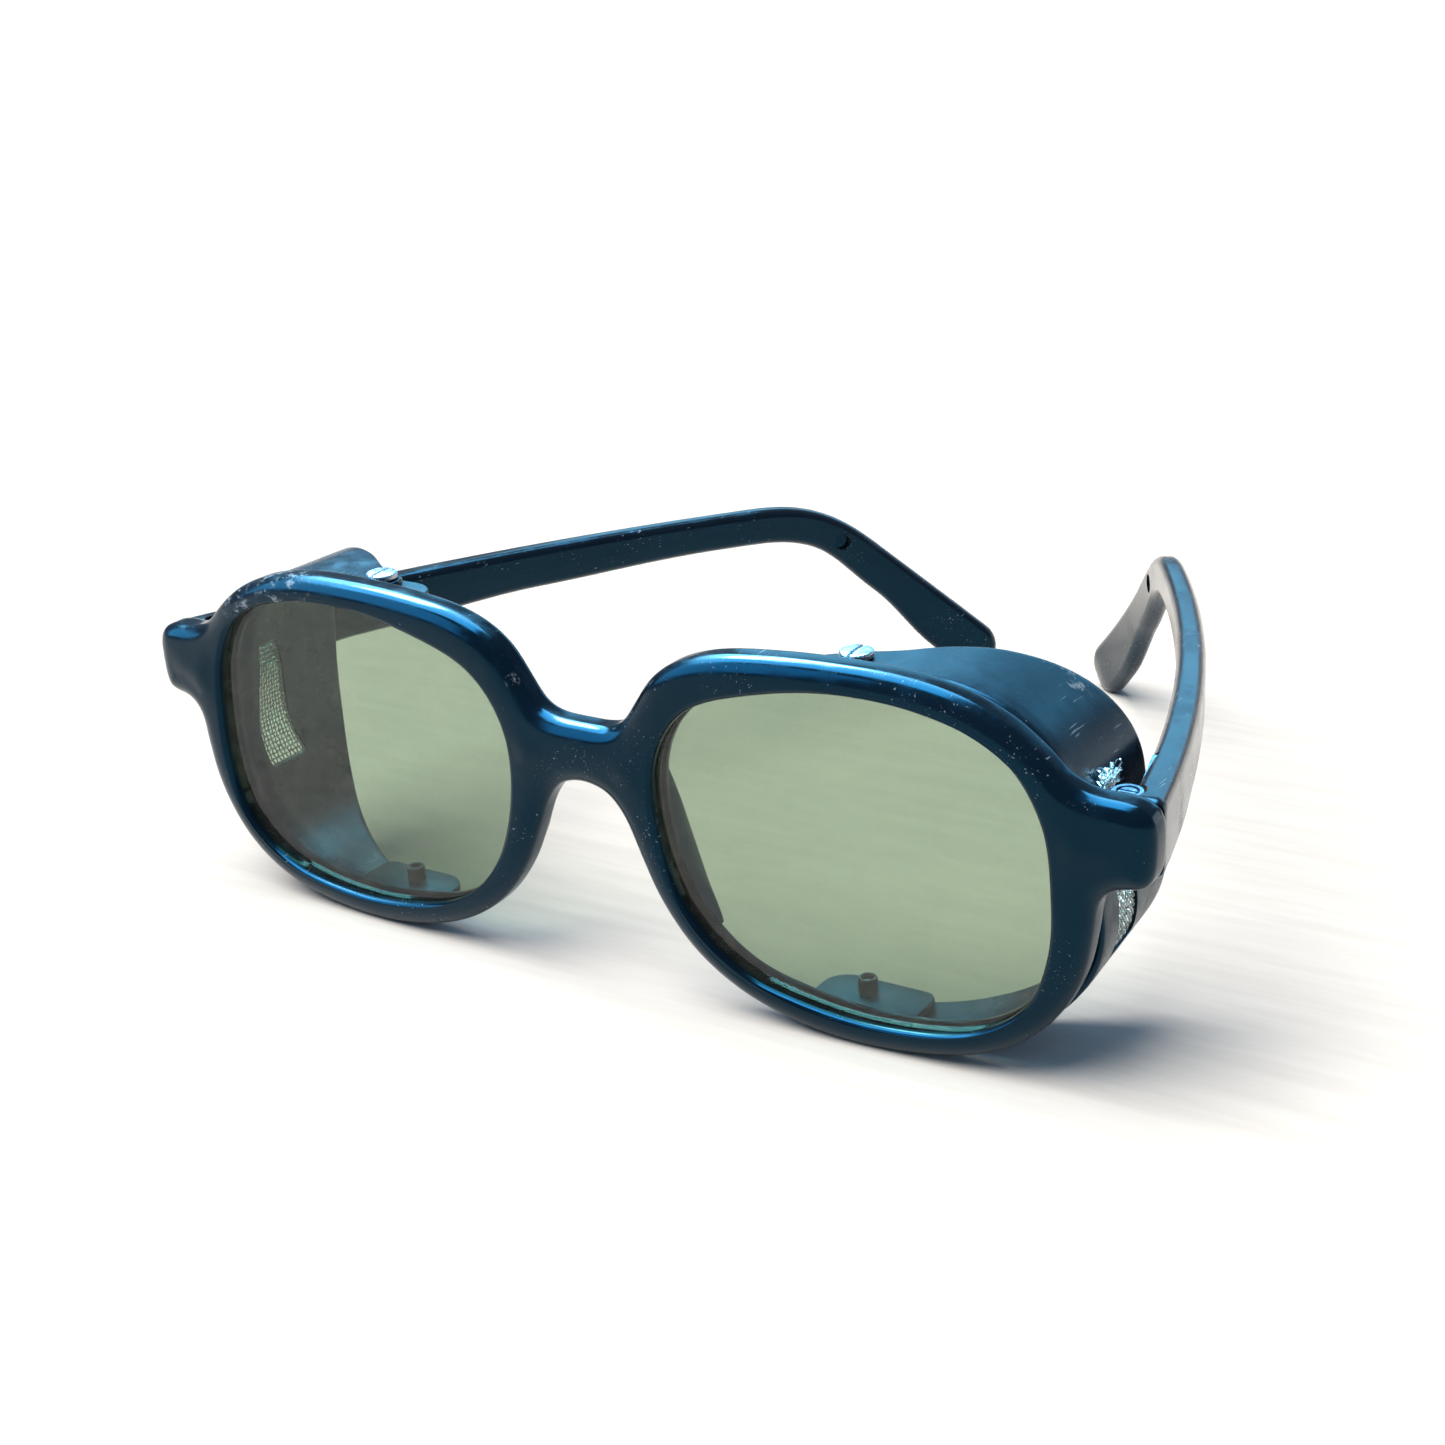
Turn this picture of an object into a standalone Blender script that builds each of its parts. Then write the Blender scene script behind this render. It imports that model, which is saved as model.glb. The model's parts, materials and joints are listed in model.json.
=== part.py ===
"""Safety glasses: one-piece front, glass lenses, swinging mesh side shields and hinged temples.

Shapes are laid out in millimetres in the front's own axes (X to the wearer's left, Y backwards, Z up
in the plane of the lenses), then stood on the rims and temple tips and scaled to metres.
"""
import bpy
import bmesh
from math import cos, pi, radians, sin, sqrt
from mathutils import Matrix, Vector

# ---------------------------------------------------------------- driving dimensions, millimetres
FACE_CURVE = 2.09        # how far the front falls back 60 mm from the middle
FRONT_DEPTH = 4.6        # depth of the rims
OUTER_ROUND = 1.5        # rounding of the front's outer front edge
REAR_ROUND = 1.1         # rounding of its outer rear edge
LIP_ROUND = 0.8          # rounding of the lens opening's front edge
GROOVE_FRONT = 1.15      # lens groove walls, from the front face
GROOVE_REAR = 3.6
GROOVE_DEEP = 1.1
LENS_FRONT = 1.45        # lens faces, from the front face
LENS_REAR = 3.3
LENS_OVERSIZE = 0.75     # how far the lens edge runs into the groove
PIVOT_X = 34.3           # upright line of the shield screws
PIVOT_Y = 8.2
LEDGE_INNER = 28.0       # ledges that carry the shields
LEDGE_OUTER = 42.0
LEDGE_REAR = 11.6
LEDGE_THICK = 1.2
LEDGE_TOP_Z = 15.1       # upper face of the upper ledge
LEDGE_LOW_Z = -27.4      # lower face of the lower ledge
TAB_GAP = 0.2
SHIELD_THICK = 1.0
SHIELD_SEAT = 0.35       # gap between the rim's rear face and the shield
TAB_RADIUS = 2.5
TAB_HOLE_R = 0.95
SCREW_R = 0.7
LEDGE_HOLE_R = 0.85
PAN_R = 2.0
PAN_HIGH = 0.9
LOW_HEAD_R = 1.9
LOW_HEAD_HIGH = 0.65
SLEEVE_R = 1.2
SLEEVE_LONG = 1.9
WINDOW_TOP = (2.0, 11.5, 15.0)      # mesh window: height and its front and rear corners
WINDOW_FOOT = (-16.8, 12.3, 19.2)
WINDOW_ROUND = 0.9
MESH_BAR = 0.42
MESH_THICK = 0.4
MESH_GAP = 0.3
HINGE_X = 66.0           # temple hinge axis
HINGE_Y = 10.0
KNUCKLE_R = 1.7
KNUCKLE_HOLE_R = 0.75
HINGE_SCREW_R = 0.6
HINGE_LOW = -1.6
HINGE_SPLIT = (0.5, 0.7, 3.1, 3.3)
HINGE_HIGH = 5.4
LEAF_THICK = 1.0
LEAF_GAP = 0.3
LEAF_STUDS = (9.8, 14.4)  # anchor studs of the temple leaf, along the temple
TEMPLE_X = 69.5          # top edge of the temple where it would meet the lug's middle
TEMPLE_Y = 6.0
TEMPLE_Z = 6.0
TEMPLE_LONG = 155.0      # along the top edge
TEMPLE_BEND_AT = 111.5
TEMPLE_BEND_OVER = 28.0
TEMPLE_DROP = 38.0       # degrees
TEMPLE_SLOPE = 4.1       # degrees
TEMPLE_TOE_IN = 11.9     # degrees at the hinge
TEMPLE_BOW = 0.163       # degrees per millimetre up to the bend
TEMPLE_CURL = 0.545      # degrees per millimetre after it
TEMPLE_THICK = 3.9
RECESS_AT = 118.0        # round recess in the inner face, past the bend
RECESS_R = 1.45
RECESS_DEEP = 0.7
BUTT_GAP = 0.3
ROUND = 24               # sides of the small turned parts
OUTLINE_STEP = 1.75      # spacing of the points along the front's outline
OPENING_STEP = 2.4       # and along the lens openings


# ---------------------------------------------------------------- outlines, X and Z
def front_half_outline():
    """Right-hand half of the front's silhouette, from the bridge's top middle round to its underside."""
    top = [(0, 5.0), (3.6, 5.1), (6.2, 6.1), (8.4, 9.2), (10.8, 12.5), (14.4, 15.0), (19.5, 16.6)]
    brow = [(26.5, 17.4), (34.0, 17.7), (42.0, 17.5), (49.0, 16.3), (54.5, 14.0), (58.6, 11.0)]
    lug = [(61.6, 8.1), (64.8, 6.9), (68.0, 6.7), (70.3, 5.9), (71.5, 3.9), (71.6, 0.6)]
    under_lug = [(70.9, -2.0), (69.0, -3.1), (66.7, -3.6), (65.2, -5.6), (64.7, -9.5), (63.6, -14.8)]
    cheek = [(60.9, -20.2), (57.0, -24.3), (51.5, -27.3), (44.5, -28.9), (36.0, -29.4), (28.0, -28.4)]
    nose = [(20.6, -25.9), (14.6, -21.8), (10.3, -16.3), (7.6, -10.5), (5.8, -6.2), (3.4, -3.4), (0, -2.5)]
    return top + brow + lug + under_lug + cheek + nose


def opening_outline():
    """Closed outline of the left lens opening, seen from the front."""
    upper = [(60.3, -5.5), (59.2, 3.2), (54.6, 10.2), (46.0, 13.6), (35.5, 14.4), (25.0, 12.8)]
    inner = [(15.6, 9.3), (10.9, 2.2), (10.9, -7.2), (14.2, -16.3), (20.6, -22.5), (29.0, -25.1)]
    lower = [(39.0, -26.0), (50.0, -24.5), (57.1, -19.8), (59.9, -13.0)]
    return upper + inner + lower


def shield_path():
    """Middle of the shield's wall from the upper pivot round the side to the lower pivot."""
    high = LEDGE_TOP_Z + TAB_GAP + SHIELD_THICK / 2
    deep = LEDGE_LOW_Z - TAB_GAP - SHIELD_THICK / 2
    top = [(PIVOT_X, high), (38.0, high), (42.5, high), (47.5, 15.4), (52.5, 13.8), (56.6, 11.0)]
    side = [(59.6, 7.4), (61.4, 3.2), (62.1, -1.6), (63.3, -6.4), (64.0, -11.0), (63.2, -15.6)]
    low = [(60.6, -20.0), (56.6, -23.8), (51.6, -26.5), (47.0, deep + 0.4), (42.4, deep), (38.0, deep)]
    return top + side + low + [(PIVOT_X, deep)]


def window_edge(z, which):
    """How far back the window's front (1) or rear (2) edge lies at a height."""
    share = (WINDOW_TOP[0] - z) / (WINDOW_TOP[0] - WINDOW_FOOT[0])
    return WINDOW_TOP[which] + share * (WINDOW_FOOT[which] - WINDOW_TOP[which])


# ---------------------------------------------------------------- small geometry helpers
def spline(points, closed, step):
    """Even samples of a Catmull-Rom curve through the points."""
    pts = [Vector(p) for p in points]
    count = len(pts)
    dense = []
    spans = count if closed else count - 1
    for i in range(spans):
        p1 = pts[i]
        p2 = pts[(i + 1) % count]
        p0 = pts[i - 1] if closed or i > 0 else p1 * 2 - p2
        p3 = pts[(i + 2) % count] if closed or i + 2 < count else p2 * 2 - p1
        for k in range(24):
            t = k / 24
            a = p1 * 2
            b = (p2 - p0) * t
            c = (p0 * 2 - p1 * 5 + p2 * 4 - p3) * t * t
            d = (p1 * 3 - p0 - p2 * 3 + p3) * t * t * t
            dense.append((a + b + c + d) * 0.5)
    dense.append(pts[0].copy() if closed else pts[-1].copy())
    run = [0.0]
    for a, b in zip(dense, dense[1:]):
        run.append(run[-1] + (b - a).length)
    number = max(4, round(run[-1] / step))
    out = []
    k = 0
    last = number if closed else number + 1
    for i in range(last):
        want = run[-1] * i / number
        while k < len(run) - 2 and run[k + 1] < want:
            k += 1
        share = (want - run[k]) / max(run[k + 1] - run[k], 1e-9)
        out.append(dense[k].lerp(dense[k + 1], min(max(share, 0), 1)))
    return out


def loop_normals(pts):
    """Unit normals of a closed loop, to the left of its direction of travel."""
    out = []
    for i, p in enumerate(pts):
        along = (pts[(i + 1) % len(pts)] - pts[i - 1]).normalized()
        out.append(Vector((-along.y, along.x)))
    return out


def fall_back(x):
    return FACE_CURVE * (x / 60.0) ** 2


def rear_face(x):
    return FRONT_DEPTH + fall_back(x)


def mesh_object(name, bm):
    bmesh.ops.remove_doubles(bm, verts=bm.verts, dist=1e-5)
    bmesh.ops.recalc_face_normals(bm, faces=bm.faces)
    mesh = bpy.data.meshes.new(name)
    bm.to_mesh(mesh)
    bm.free()
    obj = bpy.data.objects.new(name, mesh)
    bpy.context.scene.collection.objects.link(obj)
    return obj


def ring_of(bm, pts):
    return [bm.verts.new(p) for p in pts]


def bridge_rings(bm, a, b, closed=True):
    n = len(a)
    for i in range(n if closed else n - 1):
        j = (i + 1) % n
        bm.faces.new((a[i], a[j], b[j], b[i]))


def loft(name, rings):
    """Closed skin over a run of closed rings, with a flat face at each end."""
    bm = bmesh.new()
    made = [ring_of(bm, r) for r in rings]
    for a, b in zip(made, made[1:]):
        bridge_rings(bm, a, b)
    bm.faces.new(made[0])
    bm.faces.new(made[-1])
    return mesh_object(name, bm)


def round_corners(points, r, steps=4):
    """Outline through points with each corner rounded, starting r from it along both sides."""
    out = []
    count = len(points)
    for i in range(count):
        corner = Vector(points[i])
        a = corner + (Vector(points[i - 1]) - corner).normalized() * r
        b = corner + (Vector(points[(i + 1) % count]) - corner).normalized() * r
        for k in range(steps + 1):
            t = k / steps
            out.append(tuple(a * (1 - t) ** 2 + corner * 2 * t * (1 - t) + b * t * t))
    return out


def prism(name, outline, low, high, place):
    """Straight prism of a 2D outline; place(u, v, w) gives the point."""
    return loft(name, [[place(u, v, w) for u, v in outline] for w in (low, high)])


def round_box_outline(u0, u1, v0, v1, radii, steps=4):
    """Rectangle whose corners (u1v1, u0v1, u0v0, u1v0) have their own radii."""
    out = []
    corners = ((u1, v1, 0), (u0, v1, 90), (u0, v0, 180), (u1, v0, 270))
    for (cu, cv, start), r in zip(corners, radii):
        su = -1 if cu == u1 else 1
        sv = -1 if cv == v1 else 1
        if r <= 0:
            out.append((cu, cv))
            continue
        for k in range(steps + 1):
            a = radians(start + 90 * k / steps)
            out.append((cu + su * r + r * cos(a), cv + sv * r + r * sin(a)))
    return out


def box(name, x0, x1, y0, y1, z0, z1):
    return prism(name, [(x0, y0), (x1, y0), (x1, y1), (x0, y1)], z0, z1, lambda u, v, w: (u, v, w))


def circle(cx, cy, r, count=ROUND):
    angles = [2 * pi * (k + 0.5) / count for k in range(count)]
    return [(cx + r * cos(a), cy + r * sin(a)) for a in angles]


def turned(name, cx, cy, profile, count=ROUND):
    """Solid of revolution about an upright line; profile is (radius, z) from bottom to top."""
    return loft(name, [[(x, y, z) for x, y in circle(cx, cy, r, count)] for r, z in profile])


def bore(cx, cy, r, low, high):
    return turned("bore", cx, cy, [(r, low), (r, high)])


def combine(obj, others, kind):
    """Exact union or difference with other objects, which are used up."""
    for other in others:
        other.hide_render = True
        other.display_type = 'WIRE'
        mod = obj.modifiers.new("cut", 'BOOLEAN')
        mod.operation = kind
        mod.solver = 'EXACT'
        mod.object = other
        bpy.context.view_layer.update()
        graph = bpy.context.evaluated_depsgraph_get()
        mesh = bpy.data.meshes.new_from_object(obj.evaluated_get(graph))
        obj.modifiers.clear()
        old = obj.data
        obj.data = mesh
        mesh.name = obj.name
        bpy.data.meshes.remove(old)
        bpy.data.objects.remove(other, do_unlink=True)
    return obj


def move_points(obj, fn):
    for v in obj.data.vertices:
        v.co = Vector(fn(v.co))
    obj.data.update()
    return obj


def mirrored(obj, name):
    """Copy of an object on the other side of the glasses."""
    mesh = obj.data.copy()
    mesh.name = name
    copy = bpy.data.objects.new(name, mesh)
    bpy.context.scene.collection.objects.link(copy)
    for v in mesh.vertices:
        v.co.x = -v.co.x
    mesh.flip_normals()
    mesh.update()
    return copy


def shell_grid(name, us, vs, keep, point):
    """Sheet with thickness: point(u, v, side) with side -1 or +1, over the cells that are kept."""
    bm = bmesh.new()
    verts = {}

    def vert(i, j, side):
        key = (i, j, side)
        if key not in verts:
            verts[key] = bm.verts.new(point(us[i], vs[j], side))
        return verts[key]

    nu = len(us) - 1
    nv = len(vs) - 1

    def kept(i, j):
        return 0 <= i < nu and 0 <= j < nv and keep(i, j)

    for i in range(nu):
        for j in range(nv):
            if not kept(i, j):
                continue
            corners = ((i, j), (i + 1, j), (i + 1, j + 1), (i, j + 1))
            bm.faces.new([vert(a, b, 1) for a, b in corners])
            bm.faces.new([vert(a, b, -1) for a, b in reversed(corners)])
            sides = (((i, j), (i + 1, j), kept(i, j - 1)), ((i + 1, j), (i + 1, j + 1), kept(i + 1, j)),
                     ((i + 1, j + 1), (i, j + 1), kept(i, j + 1)), ((i, j + 1), (i, j), kept(i - 1, j)))
            for a, b, covered in sides:
                if not covered:
                    bm.faces.new((vert(*b, 1), vert(*a, 1), vert(*a, -1), vert(*b, -1)))
    return mesh_object(name, bm)


# ---------------------------------------------------------------- the front
def build_front():
    half = spline(front_half_outline(), False, OUTLINE_STEP)
    outer = half + [Vector((-p.x, p.y)) for p in reversed(half[1:-1])]
    opening = spline(opening_outline(), True, OPENING_STEP)
    other = [Vector((-p.x, p.y)) for p in reversed(opening)]
    r1 = OUTER_ROUND
    r2 = REAR_ROUND
    r3 = LIP_ROUND
    arc = [(1 - sin(radians(a)), 1 - cos(radians(a))) for a in (0, 30, 60, 90)]
    outer_profile = [(r1 * a, r1 * b) for a, b in arc]
    outer_profile += [(r2 * a, FRONT_DEPTH - r2 * b) for a, b in reversed(arc)]
    inner_profile = [(r3 * a, r3 * b) for a, b in arc]
    inner_profile += [(0, GROOVE_FRONT), (GROOVE_DEEP, GROOVE_FRONT)]
    inner_profile += [(GROOVE_DEEP, GROOVE_REAR), (0, GROOVE_REAR)]
    inner_profile += [(0, FRONT_DEPTH - 0.5), (0.15, FRONT_DEPTH - 0.15), (0.5, FRONT_DEPTH)]
    bm = bmesh.new()
    ends = []
    loops = ((outer, outer_profile, 1), (opening, inner_profile, -1), (other, inner_profile, -1))
    for loop, profile, into in loops:
        normals = loop_normals(loop)
        area = sum(a.x * b.y - b.x * a.y for a, b in zip(loop, loop[1:] + loop[:1]))
        turn = into if area > 0 else -into
        rings = []
        for inset, y in profile:
            pts = [p + n * (inset * turn) for p, n in zip(loop, normals)]
            rings.append(ring_of(bm, [(p.x, y, p.y) for p in pts]))
        for a, b in zip(rings, rings[1:]):
            bridge_rings(bm, a, b)
        ends.append((rings[0], rings[-1]))
    for which in (0, 1):
        edges = []
        for pair in ends:
            ring = pair[which]
            for a, b in zip(ring, ring[1:] + ring[:1]):
                edges.append(bm.edges.get((a, b)))
        bmesh.ops.triangle_fill(bm, use_beauty=True, use_dissolve=False, edges=edges, normal=(0, 1, 0))
    front = mesh_object("front_frame", bm)
    cutters = []
    for side in (1, -1):
        xs = sorted((side * (HINGE_X - 2.8), side * (HINGE_X + 3.2)))
        floor = FRONT_DEPTH - LEAF_THICK - LEAF_GAP
        cutters.append(box("pocket", xs[0], xs[1], floor, FRONT_DEPTH + 1, -2.5, 5.9))
        for z in (-0.4, 3.8):
            outline = circle(side * (HINGE_X + 1.9), z, 0.95, 16)
            cutters.append(prism("stud_hole", outline, 1.9, FRONT_DEPTH, lambda u, v, w: (u, w, v)))
    combine(front, cutters, 'DIFFERENCE')
    move_points(front, lambda c: (c.x, c.y + fall_back(c.x), c.z))
    added = []
    outline = round_box_outline(LEDGE_INNER, LEDGE_OUTER, 4.5, LEDGE_REAR, (1.6, 3.4, 0, 0))
    for side in (1, -1):
        for low in (LEDGE_TOP_Z - LEDGE_THICK, LEDGE_LOW_Z):
            high = low + LEDGE_THICK
            added.append(prism("ledge", outline, low, high, lambda u, v, w, s=side: (s * u, v, w)))
        added.append(nose_rest(side))
    combine(front, added, 'UNION')
    holes = []
    for side in (1, -1):
        for z in (LEDGE_TOP_Z - LEDGE_THICK / 2, LEDGE_LOW_Z + LEDGE_THICK / 2):
            holes.append(bore(side * PIVOT_X, PIVOT_Y, LEDGE_HOLE_R, z - LEDGE_THICK, z + LEDGE_THICK))
    return combine(front, holes, 'DIFFERENCE')


def nose_rest(side):
    """Swelling on the rear of the rim beside the nose."""
    line = spline([(8.6, 1.0), (8.9, -4.5), (9.9, -10.0), (12.3, -15.4), (16.0, -19.8)], False, 1.7)
    rings = []
    for i, p in enumerate(line):
        share = i / (len(line) - 1)
        swell = sin(pi * share) ** 0.7 if 0 < share < 1 else 0.0
        depth = 0.1 + 3.1 * swell
        wide = 1.0 + 0.55 * swell
        nxt = line[min(i + 1, len(line) - 1)]
        prv = line[max(i - 1, 0)]
        along = (nxt - prv).normalized()
        across = Vector((along.y, -along.x))
        base = rear_face(p.x) - 0.8
        ring = []
        for k in range(10):
            a = pi * k / 9
            off = wide * cos(a)
            back = 0.8 + depth * sin(a) if 0 < k < 9 else 0.0
            lean = 0.35 * depth * sin(a)
            q = p - across * off
            ring.append((side * (q.x + lean * 0.6), base + back, q.y))
        rings.append(ring)
    return loft("nose_rest", rings)


# ---------------------------------------------------------------- lenses
def build_lens():
    opening = spline(opening_outline(), True, OPENING_STEP)
    normals = loop_normals(opening)
    area = sum(a.x * b.y - b.x * a.y for a, b in zip(opening, opening[1:] + opening[:1]))
    turn = -1 if area > 0 else 1
    edge = [p + n * (LENS_OVERSIZE * turn) for p, n in zip(opening, normals)]
    middle = sum(edge, Vector((0, 0))) / len(edge)
    bm = bmesh.new()
    rim = 0.25
    layers = []
    for y, sign in ((LENS_FRONT, 1), (LENS_REAR, -1)):
        hub = bm.verts.new((middle.x, y, middle.y))
        rings = []
        for share in (0.33, 0.67):
            rings.append(ring_of(bm, [(q.x, y, q.y) for q in (middle.lerp(p, share) for p in edge)]))
        inner = [p - (p - middle).normalized() * rim for p in edge]
        rings.append(ring_of(bm, [(q.x, y, q.y) for q in inner]))
        for i in range(len(edge)):
            bm.faces.new((hub, rings[0][i], rings[0][(i + 1) % len(edge)]))
        for a, b in zip(rings, rings[1:]):
            bridge_rings(bm, a, b)
        wall = ring_of(bm, [(q.x, y + sign * rim, q.y) for q in edge])
        bridge_rings(bm, rings[-1], wall)
        layers.append(wall)
    bridge_rings(bm, layers[0], layers[1])
    lens = mesh_object("lens_left", bm)
    return move_points(lens, lambda c: (c.x, c.y + fall_back(c.x), c.z))


# ---------------------------------------------------------------- side shields
def shield_rear_edge(x, z):
    """How far back the shield reaches, as a function of its place on the path."""
    start = [(PIVOT_X, PIVOT_Y + TAB_RADIUS)]
    end = [(63.2, 27.5), (64.2, 28.4)]
    top = [(38.0, 12.4), (42.0, 16.0), (47.0, 18.6), (52.0, 21.2), (57.0, 24.4), (60.5, 26.2), (62.2, 26.7)]
    low = [(38.0, 11.2), (41.6, 12.3), (45.1, 14.2), (52.0, 18.4), (55.8, 21.1), (59.1, 23.8), (61.6, 26.0)]
    line = start + (top if z > -6 else low) + end
    for (x0, y0), (x1, y1) in zip(line, line[1:]):
        if x <= x1:
            share = max(0.0, (x - x0) / (x1 - x0))
            return y0 + (y1 - y0) * share
    return line[-1][1]


def shield_surface():
    """Path samples with normals, smoothed rear edge and front edge."""
    path = spline(shield_path(), False, 1.9)
    n = len(path)
    rear = [shield_rear_edge(p.x, p.y) for p in path]
    for _ in range(2):
        inner = [(a + 2 * b + c) / 4 for a, b, c in zip(rear, rear[1:], rear[2:])]
        rear = [rear[0]] + inner + [rear[-1]]
    stations = []
    for i, p in enumerate(path):
        along = (path[min(i + 1, n - 1)] - path[max(i - 1, 0)]).normalized()
        out = Vector((-along.y, along.x))
        stations.append((p, out, max(rear_face(p.x) + SHIELD_SEAT, PIVOT_Y - TAB_RADIUS), rear[i]))
    steps = 7
    head = []
    tail = []
    for k in range(steps, 0, -1):
        a = radians(84 * k / steps)
        reach = TAB_RADIUS * sin(a)
        half = TAB_RADIUS * cos(a)
        first = stations[0]
        last = stations[-1]
        head.append((first[0] - Vector((reach, 0)), first[1], PIVOT_Y - half, PIVOT_Y + half))
        tail.insert(0, (last[0] - Vector((reach, 0)), last[1], PIVOT_Y - half, PIVOT_Y + half))
    first = stations[0]
    last = stations[-1]
    stations[0] = (first[0], Vector((0, 1)), PIVOT_Y - TAB_RADIUS, PIVOT_Y + TAB_RADIUS)
    stations[-1] = (last[0], Vector((0, -1)), PIVOT_Y - TAB_RADIUS, PIVOT_Y + TAB_RADIUS)
    return head + stations + tail


def shield_point(station, y, offset):
    p, out, front, rear = station
    lean = 0.055 * max(0.0, y - 9.0) * min(1.0, max(0.0, (p.x - 40.0) / 18.0))
    q = p + out * (offset - lean)
    return (q.x, y, q.y)


def build_shield():
    stations = shield_surface()
    rows = 8

    def point(i, v, side):
        station = stations[i]
        y = station[2] + (station[3] - station[2]) * v
        return shield_point(station, y, side * SHIELD_THICK / 2)

    vs = [k / rows for k in range(rows + 1)]
    shield = shell_grid("shield_left", list(range(len(stations))), vs, lambda i, j: True, point)
    corners = []
    for z, front, rear in (WINDOW_TOP, WINDOW_FOOT):
        corners += [(front, z), (rear, z)]
    outline = round_corners([corners[k] for k in (0, 1, 3, 2)], WINDOW_ROUND)
    window = prism("window", outline, 54.0, 70.0, lambda u, v, w: (w, u, v))
    tab_holes = []
    for z in (shield_path()[0][1], shield_path()[-1][1]):
        tab_holes.append(bore(PIVOT_X, PIVOT_Y, TAB_HOLE_R, z - 1.5, z + 1.5))
    return combine(shield, [window] + tab_holes, 'DIFFERENCE')


def build_mesh():
    """Wire mesh in the shield's window, as a bent grid of bars."""
    path = spline(shield_path(), False, 0.25)
    n = len(path)
    low = WINDOW_FOOT[0] + MESH_GAP
    high = WINDOW_TOP[0] - MESH_GAP
    side = []
    for i in range(1, n - 1):
        p = path[i]
        if p.x > 55.0 and low <= p.y <= high:
            along = (path[i + 1] - path[i - 1]).normalized()
            side.append((p, Vector((-along.y, along.x)), 0.0, 0.0))

    def bars(count, total):
        pitch = (total - MESH_BAR) / count
        edges = []
        for k in range(count + 1):
            edges += [k * pitch, k * pitch + MESH_BAR]
        return edges

    us = bars(11, high - low)
    wide = WINDOW_FOOT[2] - WINDOW_FOOT[1] - 2 * MESH_GAP
    vs = [v / wide for v in bars(3, wide)]

    def point(u, v, which):
        want = high - u
        station = min(side, key=lambda s: abs(s[0].y - want))
        front = window_edge(want, 1) + MESH_GAP
        rear = window_edge(want, 2) - MESH_GAP
        base = Vector(shield_point(station, front + v * (rear - front), which * MESH_THICK / 2))
        return (base.x, base.y, base.z)

    return shell_grid("shield_mesh_left", us, vs, lambda i, j: i % 2 == 0 or j % 2 == 0, point)


def build_shield_screw(name, up):
    """Slotted screw with its sleeve; up is +1 for the upper pair and -1 for the lower."""
    tab_face = (LEDGE_TOP_Z if up > 0 else LEDGE_LOW_Z) + up * (TAB_GAP + SHIELD_THICK + 0.12)
    high = PAN_HIGH if up > 0 else LOW_HEAD_HIGH
    r = PAN_R if up > 0 else LOW_HEAD_R
    inner = (LEDGE_TOP_Z - LEDGE_THICK if up > 0 else LEDGE_LOW_Z + LEDGE_THICK) - up * 0.25
    tip = inner - up * (SLEEVE_LONG - 0.6)
    profile = [(SCREW_R * 0.8, tip), (SCREW_R, tip + up * 0.15), (SCREW_R, tab_face)]
    profile += [(r - 0.15, tab_face), (r, tab_face + up * 0.15), (r, tab_face + up * (high - 0.35))]
    profile += [(r * 0.86, tab_face + up * (high - 0.1)), (r * 0.6, tab_face + up * high)]
    screw = turned(name, PIVOT_X, PIVOT_Y, profile)
    z0, z1 = sorted((tab_face + up * (high - 0.35), tab_face + up * (high + 1)))
    slot = box("slot", PIVOT_X - 0.25, PIVOT_X + 0.25, PIVOT_Y - 3, PIVOT_Y + 3, z0, z1)
    combine(screw, [slot], 'DIFFERENCE')
    end = inner - up * SLEEVE_LONG
    profile = [(SLEEVE_R, inner), (SLEEVE_R, end + up * 0.2), (SLEEVE_R - 0.15, end)]
    sleeve = turned(name.replace("screw", "sleeve"), PIVOT_X, PIVOT_Y, profile)
    z0, z1 = sorted((inner + up, end - up))
    combine(sleeve, [bore(PIVOT_X, PIVOT_Y, LEDGE_HOLE_R, z0, z1)], 'DIFFERENCE')
    return screw, sleeve


# ---------------------------------------------------------------- temples
def temple_height(s):
    table = [(0, 9.3), (14, 8.9), (28, 7.7), (60, 6.3), (90, 5.6), (112, 5.7), (130, 6.5), (145, 8.2),
             (TEMPLE_LONG, 8.4)]
    for (s0, h0), (s1, h1) in zip(table, table[1:]):
        if s <= s1:
            share = (s - s0) / (s1 - s0)
            return h0 + (h1 - h0) * share * share * (3 - 2 * share)
    return table[-1][1]


def temple_frames():
    """Top-edge points of the temple with their forward, inward and upward directions."""
    frames = []
    at = Vector((TEMPLE_X, TEMPLE_Y, TEMPLE_Z))
    fine = 0.5
    count = round(TEMPLE_LONG / fine)
    for k in range(count + 1):
        s = k * fine
        u = min(1.0, max(0.0, (s - TEMPLE_BEND_AT) / TEMPLE_BEND_OVER + 0.5))
        down = radians(-(TEMPLE_SLOPE + TEMPLE_DROP * u * u * (3 - 2 * u)))
        bow = TEMPLE_BOW * min(s, TEMPLE_BEND_AT)
        curl = TEMPLE_CURL * max(0.0, s - TEMPLE_BEND_AT)
        turn = radians(TEMPLE_TOE_IN + bow + curl)
        ahead = Vector((-sin(turn) * cos(down), cos(turn) * cos(down), sin(down)))
        inward = Vector((-cos(turn), -sin(turn), 0))
        upward = inward.cross(ahead)
        if upward.z < 0:
            upward = -upward
        frames.append((s, at.copy(), ahead, inward, upward))
        at += ahead * fine
    return frames


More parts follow.
